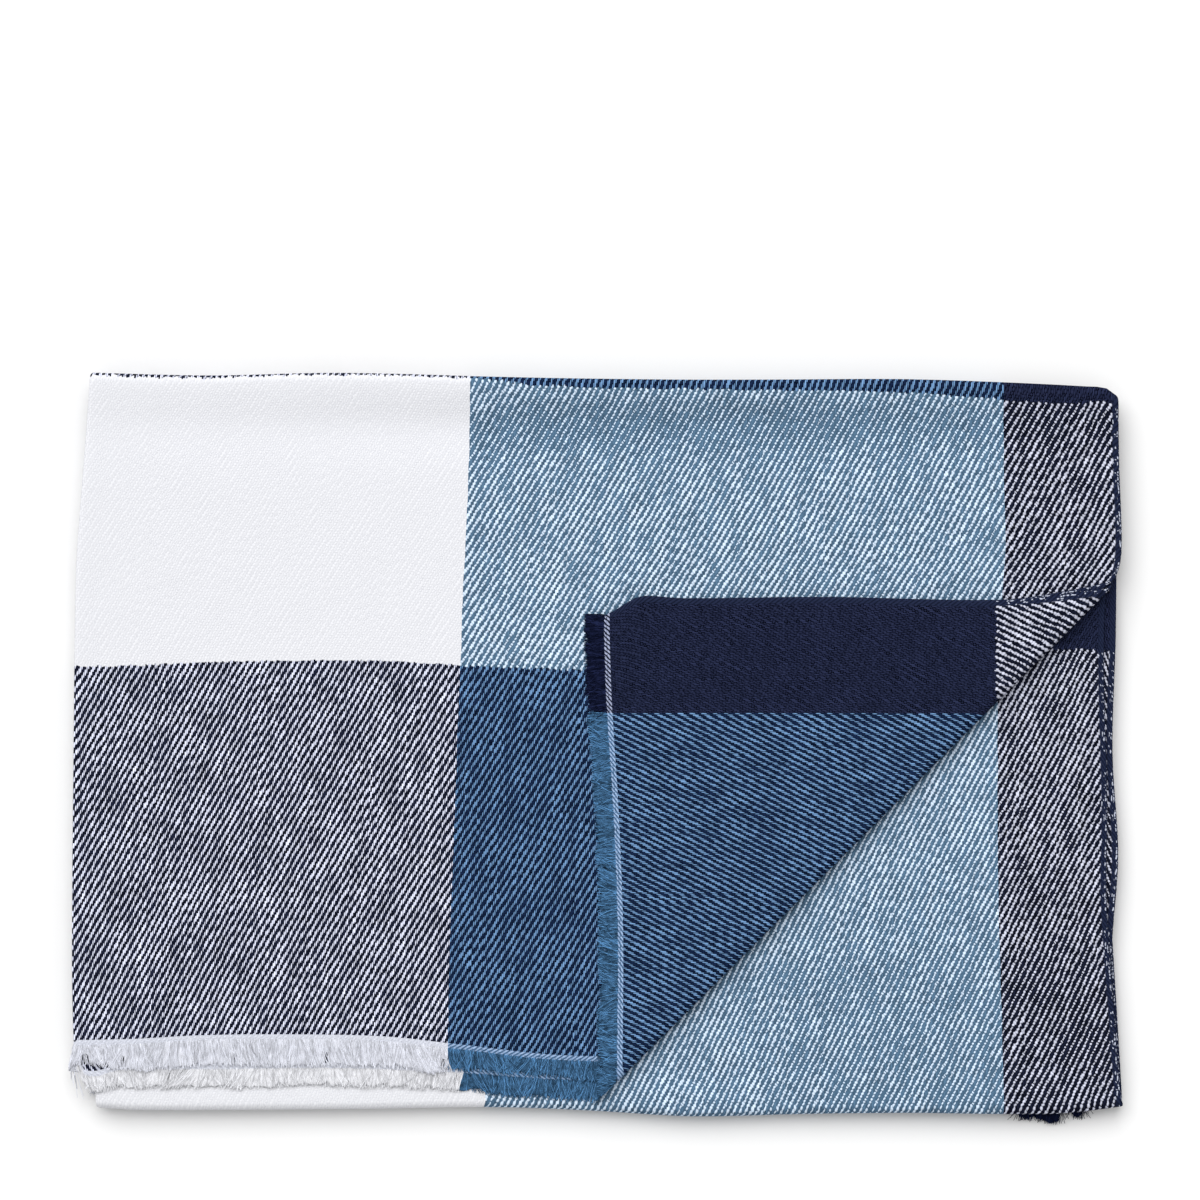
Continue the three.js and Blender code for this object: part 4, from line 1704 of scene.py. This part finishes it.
@dataclass
class Fringe:
    """One cut end's fringe: loose warp ends, frayed into hairs over a matted strip of fluff.

    Lengths are in millimetres. Of the pairs, splay and outside are for the upper and the lower
    layer, wildness for the yarns and the hairs, mat_half and thinning for the root and the tip,
    and each spread is from the least to the most.
    """

    packet: Packet
    end: CutEnd
    yarns: int = 1
    yarn_steps: int = 4
    yarn_radius: float = 0.36
    hairs: int = 4
    hair_steps: int = 4
    hair_radius: float = 0.18
    yarn_sides: int = 3
    end_pitch: float = 0.99
    root_jitter: float = 0.3
    lock_pitch: float = 8.0
    lock_jitter: float = 0.1
    lean: float = 4.2
    pull: float = 3.4
    curl: float = 0.8
    curl_turns: float = 0.75
    bend: float = 1.3
    reach: float = 14.5
    least_reach: float = 3.0
    length_variation: float = 1.2
    lock_variation: float = 0.5
    reach_spread: tuple[float, float] = (-1.0, 0.6)
    bulge_spread: tuple[float, float] = (-0.3, 1.0)
    steady: float = 0.4
    partings: int = 16
    parting_width: float = 3.0
    parting_reach: float = 3.5
    parted_from: float = 0.5
    layer_blend: float = 3.0
    loft: float = 0.5
    outside: tuple[float, float] = (0.85, 0.5)
    wildness: tuple[float, float] = (0.35, 1.0)
    thinning: tuple[float, float] = (1.05, 0.75)
    rooted: float = -0.8
    splay: tuple[float, float] = (6.0, 0.6)
    splay_reach: float = 6.0
    past_selvedge: float = 0.8
    mat_columns: int = 2
    mat_rows: tuple[float, ...] = (0.0, 0.3, 0.58, 0.82, 0.95, 1.0)
    mat_half: tuple[float, float] = (0.85, 0.5)
    mat_ridge: float = 0.12
    mat_lump: float = 0.2
    mat_lump_ends: int = 6
    mat_clump: float = 0.7
    mat_clump_ends: int = 5
    mat_short: float = 0.8
    mat_spread: tuple[float, float] = (-1.0, 0.4)
    mat_tip: float = 0.12
    mat_flat: tuple[float, float] = (0.05, 0.97)
    off_floor: float = 0.05
    seed: int = 7

    def bends(self, roots: Array) -> tuple[Array, Array, Array]:
        """Finds how the locks lie at places across the cloth.

        Args:
            roots: the places.

        Returns:
            How far the tips lean there, how long the ends are, and which gap between partings
            each place is in.
        """
        random = np.random.default_rng(self.seed)
        packet = self.packet
        width = packet.cloth_width
        count = int(width / self.lock_pitch)
        between = self.lock_jitter, 1 - self.lock_jitter
        centres = (np.arange(count) + random.uniform(*between, count)) * self.lock_pitch
        lean = np.interp(roots, centres, random.normal(0, self.lean, count))
        extra = np.interp(roots, centres, random.normal(0, self.lock_variation, count))
        partings = np.sort(random.uniform(0, width, self.partings))
        for parting in partings:
            away = roots - parting
            near = np.exp(-np.abs(away) / self.parting_reach)
            lean = lean + np.sign(away) * self.parting_width * near / 2
        x, _, _ = packet.round_width_fold(roots, np.zeros_like(roots))
        if self.end is CutEnd.FIRST:
            lower = smooth_step((roots - width / 2) / self.layer_blend + 0.5)
            reach = REACHES.at("upper", x) * (1 - lower) + REACHES.at("lower", x) * lower
        else:
            reach = np.maximum(self.reach + TUFTS.at("extra", x), self.least_reach)
        reach = reach + extra * self.length_variation
        return lean, reach, np.searchsorted(partings, roots)

    def hang(
        self, roots: Array, share: Array, sideways: Array, reach: Array, w: Array
    ) -> Array:
        """Folds rows of points of the flat fringe with the cloth.

        Args:
            roots: where each row starts, across the cloth.
            share: how far along its row each point is, from 0 to 1.
            sideways: how far across from its root each point lies.
            reach: each row's length.
            w: each point's distance from the cloth's middle.

        Returns:
            The points, in millimetres, one row a root.
        """
        packet = self.packet
        past = self.past_selvedge
        u = np.clip(roots[:, None] + sideways, -past, packet.cloth_width + past)
        v = self.end.value * (share * (reach[:, None] + self.rooted) - self.rooted)
        if self.end is CutEnd.LAST:
            v = packet.cloth_length + v
        points = packet.fold(u.ravel(), v.ravel(), w.ravel()).reshape(*u.shape, 3)
        from_fold = roots[:, None] - packet.cloth_width / 2
        near_fold = np.exp(-np.abs(from_fold) / self.splay_reach)
        upper, lower = self.splay
        points[..., 0] -= np.where(from_fold > 0, lower, upper) * near_fold * share**self.bend
        return points

    def strands(
        self, each: int, steps: int, wild: float, seed: int
    ) -> tuple[Array, Array]:
        """Lays out strands on the flat cloth and folds them with it.

        Args:
            each: the strands of each warp end.
            steps: the straight pieces of a strand.
            wild: how loosely they lie, from 0 to 1.
            seed: the seed of their chances.

        Returns:
            The strands' points, in millimetres, one row a strand, and each strand's place
            across the cloth.
        """
        random = np.random.default_rng(seed)
        ends = int(self.packet.cloth_width / self.end_pitch)
        roots = (np.arange(ends * each) + 0.5) * self.end_pitch / each
        count = len(roots)
        jitter = random.uniform(-self.root_jitter, self.root_jitter, count)
        roots = roots + jitter * self.end_pitch
        lean, reach, _ = self.bends(roots)
        share = np.linspace(0, 1, steps + 1)[None, :]
        pull = lean + random.normal(0, self.pull, count) * wild
        turn = np.sin(share * math.pi * 2 * self.curl_turns)
        curl = random.normal(0, self.curl, count)[:, None] * turn * wild
        uneven = random.uniform(*self.reach_spread, count) * self.length_variation
        reach = reach + uneven * (self.steady + wild)
        upper, lower = self.outside
        shown = np.where(roots > self.packet.cloth_width / 2, lower, upper)
        outside = np.where(random.random(count) < shown, 1, -1)[:, None]
        root_half, tip_half = self.mat_half
        half = root_half + (tip_half - root_half) * share
        bulge = random.uniform(*self.bulge_spread, count)[:, None]
        bulge = bulge * np.sin(share * math.pi) * self.loft
        w = outside * (half + bulge * wild)
        sideways = pull[:, None] * share**self.bend + curl
        return self.hang(roots, share, sideways, reach, w), roots

    def mat(self, finish: bpy.types.Material, shift: Array) -> bpy.types.Object:
        """Makes the matted fluff under the strands: a thin strip with ridges and a ragged edge.

        Args:
            finish: its material.
            shift: from the packet's corner to the frame's origin, in millimetres.

        Returns:
            The object.
        """
        random = np.random.default_rng(self.seed + 5)
        count = int(self.packet.cloth_width / self.end_pitch) * self.mat_columns
        roots = (np.arange(count) + 0.5) * self.end_pitch / self.mat_columns
        lean, reach, gap = self.bends(roots)
        number = np.arange(count)
        knots = np.arange(0, count + self.mat_clump_ends, self.mat_clump_ends)
        clumps = np.interp(number, knots, random.normal(0, self.mat_clump, len(knots)))
        reach = reach - self.mat_short + clumps + random.uniform(*self.mat_spread, count)
        over = np.array(self.mat_rows)
        share = np.concatenate([over, over[-2::-1]])[None, :]
        along = share.shape[1]
        root_half, tip_half = self.mat_half
        half = root_half + (tip_half - root_half) * share
        half = half * np.sqrt(np.clip((1 - share) / self.mat_tip, 0, 1))
        knots = np.arange(count // self.mat_lump_ends + 2) * self.mat_lump_ends
        lumps = random.normal(0, self.mat_lump, (len(knots), along))
        lump = np.stack([np.interp(number, knots, row) for row in lumps.T], axis=-1)
        ridge = random.uniform(-1, 1, count)[:, None] * self.mat_ridge
        side = np.where(np.arange(along) < len(over), 1.0, -1.0)[None, :]
        swell = np.sqrt(np.sin(np.clip(share, *self.mat_flat) * math.pi))
        w = side * (half + (lump + ridge) * swell)
        points = self.hang(roots, share, lean[:, None] * share**self.bend, reach, w) + shift
        points[..., 2] = np.maximum(points[..., 2], self.off_floor)
        faces = []
        for i in range(count - 1):
            for j in range(along - 1):
                if gap[i] != gap[i + 1] and share[0, j] > self.parted_from:
                    continue
                a, b = i * along + j, (i + 1) * along + j
                face = (a, a + 1, b + 1, b)
                faces.append(face if self.end is CutEnd.LAST else face[::-1])
        mesh = bpy.data.meshes.new(f"fluff_{self.end.name.lower()}_end")
        mesh.from_pydata((points.reshape(-1, 3) * MM).tolist(), [], faces)
        mesh.polygons.foreach_set("use_smooth", np.ones(len(faces), bool))
        keep(mesh, "end_at", np.repeat(roots * MM, along))
        keep(mesh, "along", np.tile(share[0], count))
        keep(mesh, "matted", np.ones(count * along))
        mesh.materials.append(finish)
        return put(mesh.name, mesh)

    def build(self, finish: bpy.types.Material, shift: Array) -> bpy.types.Object:
        """Makes the loose ends and hairs as one mesh.

        Args:
            finish: its material.
            shift: from the packet's corner to the frame's origin, in millimetres.

        Returns:
            The object.
        """
        calm, wild = self.wildness
        sets = (
            (self.strands(self.yarns, self.yarn_steps, calm, self.seed + 1), self.yarn_radius),
            (self.strands(self.hairs, self.hair_steps, wild, self.seed + 2), self.hair_radius),
        )
        places, edges, end_at, taper, run = [], [], [], [], []
        for (points, roots), radius in sets:
            points = points + shift
            points[..., 2] = np.maximum(points[..., 2], radius)
            count, along = points.shape[:2]
            start = sum(len(part) for part in places)
            first = start + np.arange(count * along).reshape(count, along)
            edges.append(np.stack([first[:, :-1], first[:, 1:]], axis=-1).reshape(-1, 2))
            places.append(points.reshape(-1, 3) * MM)
            end_at.append(np.repeat(roots * MM, along))
            thinning = np.linspace(*self.thinning, along) * radius / self.hair_radius
            taper.append(np.tile(thinning, count))
            run.append(np.tile(np.linspace(0, 1, along), count))
        name = f"fringe_{self.end.name.lower()}_end"
        mesh = bpy.data.meshes.new(name)
        mesh.from_pydata(np.concatenate(places).tolist(), np.concatenate(edges).tolist(), [])
        for title, values in (("end_at", end_at), ("taper", taper), ("along", run)):
            keep(mesh, title, np.concatenate(values))
        return self.thicken(put(name, mesh), finish)

    def thicken(self, guides: bpy.types.Object, finish: bpy.types.Material) -> bpy.types.Object:
        """Turns the strands' middle lines into thin yarns.

        Args:
            guides: the object that holds the lines.
            finish: the material.

        Returns:
            An object with the plain mesh.
        """
        tree = bpy.data.node_groups.new("Yarn ends", "GeometryNodeTree")
        tree.interface.new_socket("Lines", in_out="INPUT", socket_type="NodeSocketGeometry")
        radius = tree.interface.new_socket("Radius", in_out="INPUT", socket_type="NodeSocketFloat")
        tree.interface.new_socket("Yarns", in_out="OUTPUT", socket_type="NodeSocketGeometry")
        nodes = Nodes(tree)
        entry = nodes.add("NodeGroupInput").outputs
        curve = nodes.add("GeometryNodeMeshToCurve", {"Mesh": entry["Lines"]}).outputs[0]
        taper = nodes.add("GeometryNodeInputNamedAttribute", data_type="FLOAT")
        taper.inputs["Name"].default_value = "taper"
        ring = {"Resolution": self.yarn_sides, "Radius": entry["Radius"]}
        profile = nodes.add("GeometryNodeCurvePrimitiveCircle", ring).outputs[0]
        tapered = {"Curve": curve, "Radius": taper.outputs["Attribute"]}
        thick = nodes.add("GeometryNodeSetCurveRadius", tapered).outputs[0]
        swept = {"Curve": thick, "Profile Curve": profile, "Fill Caps": True}
        yarns = nodes.add("GeometryNodeCurveToMesh", swept).outputs[0]
        real = nodes.add("GeometryNodeRealizeInstances", (yarns,)).outputs[0]
        dressed = {"Geometry": real, "Material": finish}
        dressed = nodes.add("GeometryNodeSetMaterial", dressed).outputs[0]
        nodes.add("NodeGroupOutput", (dressed,))
        modifier = guides.modifiers.new("Yarn ends", "NODES")
        modifier.node_group = tree
        modifier[radius.identifier] = self.hair_radius * MM
        evaluated = guides.evaluated_get(bpy.context.evaluated_depsgraph_get())
        mesh = bpy.data.meshes.new_from_object(evaluated)
        guides.modifiers.clear()
        lines = guides.data
        guides.data = mesh
        bpy.data.meshes.remove(lines)
        return guides


@dataclass(frozen=True)
class Studio:
    """A white floor, soft light from the top left, and a camera straight above the packet."""

    sensor_width: float = 36.0
    camera_height: float = 4.0
    view_width: float = 0.75
    top_height: float = 0.022
    centre: tuple[float, float] = (0.0012, 0.092)
    floor_size: float = 5.0
    floor_tone: float = 0.79
    floor_gap: float = 0.0002
    sky: float = 0.64
    key_strength: float = 2.9
    key_angle: float = 60.0
    key_height: float = 52.0
    key_way: tuple[float, float] = (-0.32, 1.0)

    def build(self) -> bpy.types.Object:
        """Makes the floor, the lights and the camera, and gives the floor."""
        mesh = bpy.data.meshes.new("floor")
        half = self.floor_size / 2
        corners = [(-half, -half, 0), (half, -half, 0), (half, half, 0), (-half, half, 0)]
        mesh.from_pydata(corners, [], [(0, 1, 2, 3)])
        paint, nodes = new_material("White floor")
        nodes.surface((self.floor_tone,) * 3 + (1.0,), 1.0)
        mesh.materials.append(paint)
        floor = put("floor", mesh)
        floor.location.z = -self.floor_gap
        self.light()
        self.film()
        return floor

    def light(self) -> None:
        """Makes the even sky and the soft key light."""
        world = bpy.data.worlds.new("Sky")
        world.use_nodes = True
        sky = world.node_tree.nodes["Background"]
        sky.inputs["Color"].default_value = (1.0, 1.0, 1.0, 1.0)
        sky.inputs["Strength"].default_value = self.sky
        bpy.context.scene.world = world
        lamp = bpy.data.lights.new("key", "SUN")
        lamp.energy = self.key_strength
        lamp.angle = math.radians(self.key_angle)
        key = put("key", lamp)
        rise = math.hypot(*self.key_way) * math.tan(math.radians(self.key_height))
        key.rotation_euler = Vector((*self.key_way, rise)).to_track_quat("Z", "Y").to_euler()

    def film(self) -> None:
        """Makes the camera, which frames the photograph's view."""
        lens = bpy.data.cameras.new("camera")
        lens.sensor_width = self.sensor_width
        lens.lens = self.sensor_width * (self.camera_height - self.top_height) / self.view_width
        camera = put("camera", lens)
        camera.location = (*self.centre, self.camera_height)
        bpy.context.scene.camera = camera
        bpy.context.scene.view_settings.view_transform = "Standard"


def frame_shift(packet: Packet) -> Array:
    """The step from the packet's corner to the frame's origin, in millimetres."""
    low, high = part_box("cloth")
    across = np.linspace(0, packet.cloth_width, PROBES_ACROSS)
    along = np.linspace(0, packet.cloth_length, PROBES_ALONG)
    u, v = (grid.ravel() for grid in np.meshgrid(across, along))
    half = packet.thickness / 2
    points = np.concatenate([packet.fold(u, v, np.full_like(u, w)) for w in (half, -half)])
    middle = (points.min(axis=0) + points.max(axis=0)) / 2
    shift = (np.array(low) + np.array(high)) / 2 / MM - middle
    shift[2] = 0.0
    return shift


def main() -> None:
    """Builds the throw and its setting."""
    logging.basicConfig(level=logging.INFO, format="%(message)s")
    packet = Packet()
    shift = frame_shift(packet)
    stripes = Stripes(width=packet.cloth_width, length=packet.cloth_length).group()
    edging = Edging(length=packet.cloth_length).group()
    selvedge = Selvedge().group(packet.cloth_width)
    twill = Twill().group()
    floor = Studio().build()

    woven = WovenFinish().material(twill, stripes, edging, selvedge)
    cloth = WovenCloth(packet).build(woven, shift)
    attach(cloth, "root")
    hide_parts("cloth")
    log.info("cloth: %d faces", len(cloth.data.polygons))

    loose = FringeFinish().material(stripes)
    ends = (
        (Fringe(packet, CutEnd.FIRST), "fringe_top"),
        (Fringe(packet, CutEnd.LAST, hairs=2, lean=1.2, seed=11), "fringe_under"),
    )
    for fringe, node in ends:
        for piece in (fringe.build(loose, shift), fringe.mat(loose, shift)):
            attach(piece, "root")
            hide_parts(node)
            log.info("%s: %d faces", piece.name, len(piece.data.polygons))


if __name__ == "__main__":
    main()
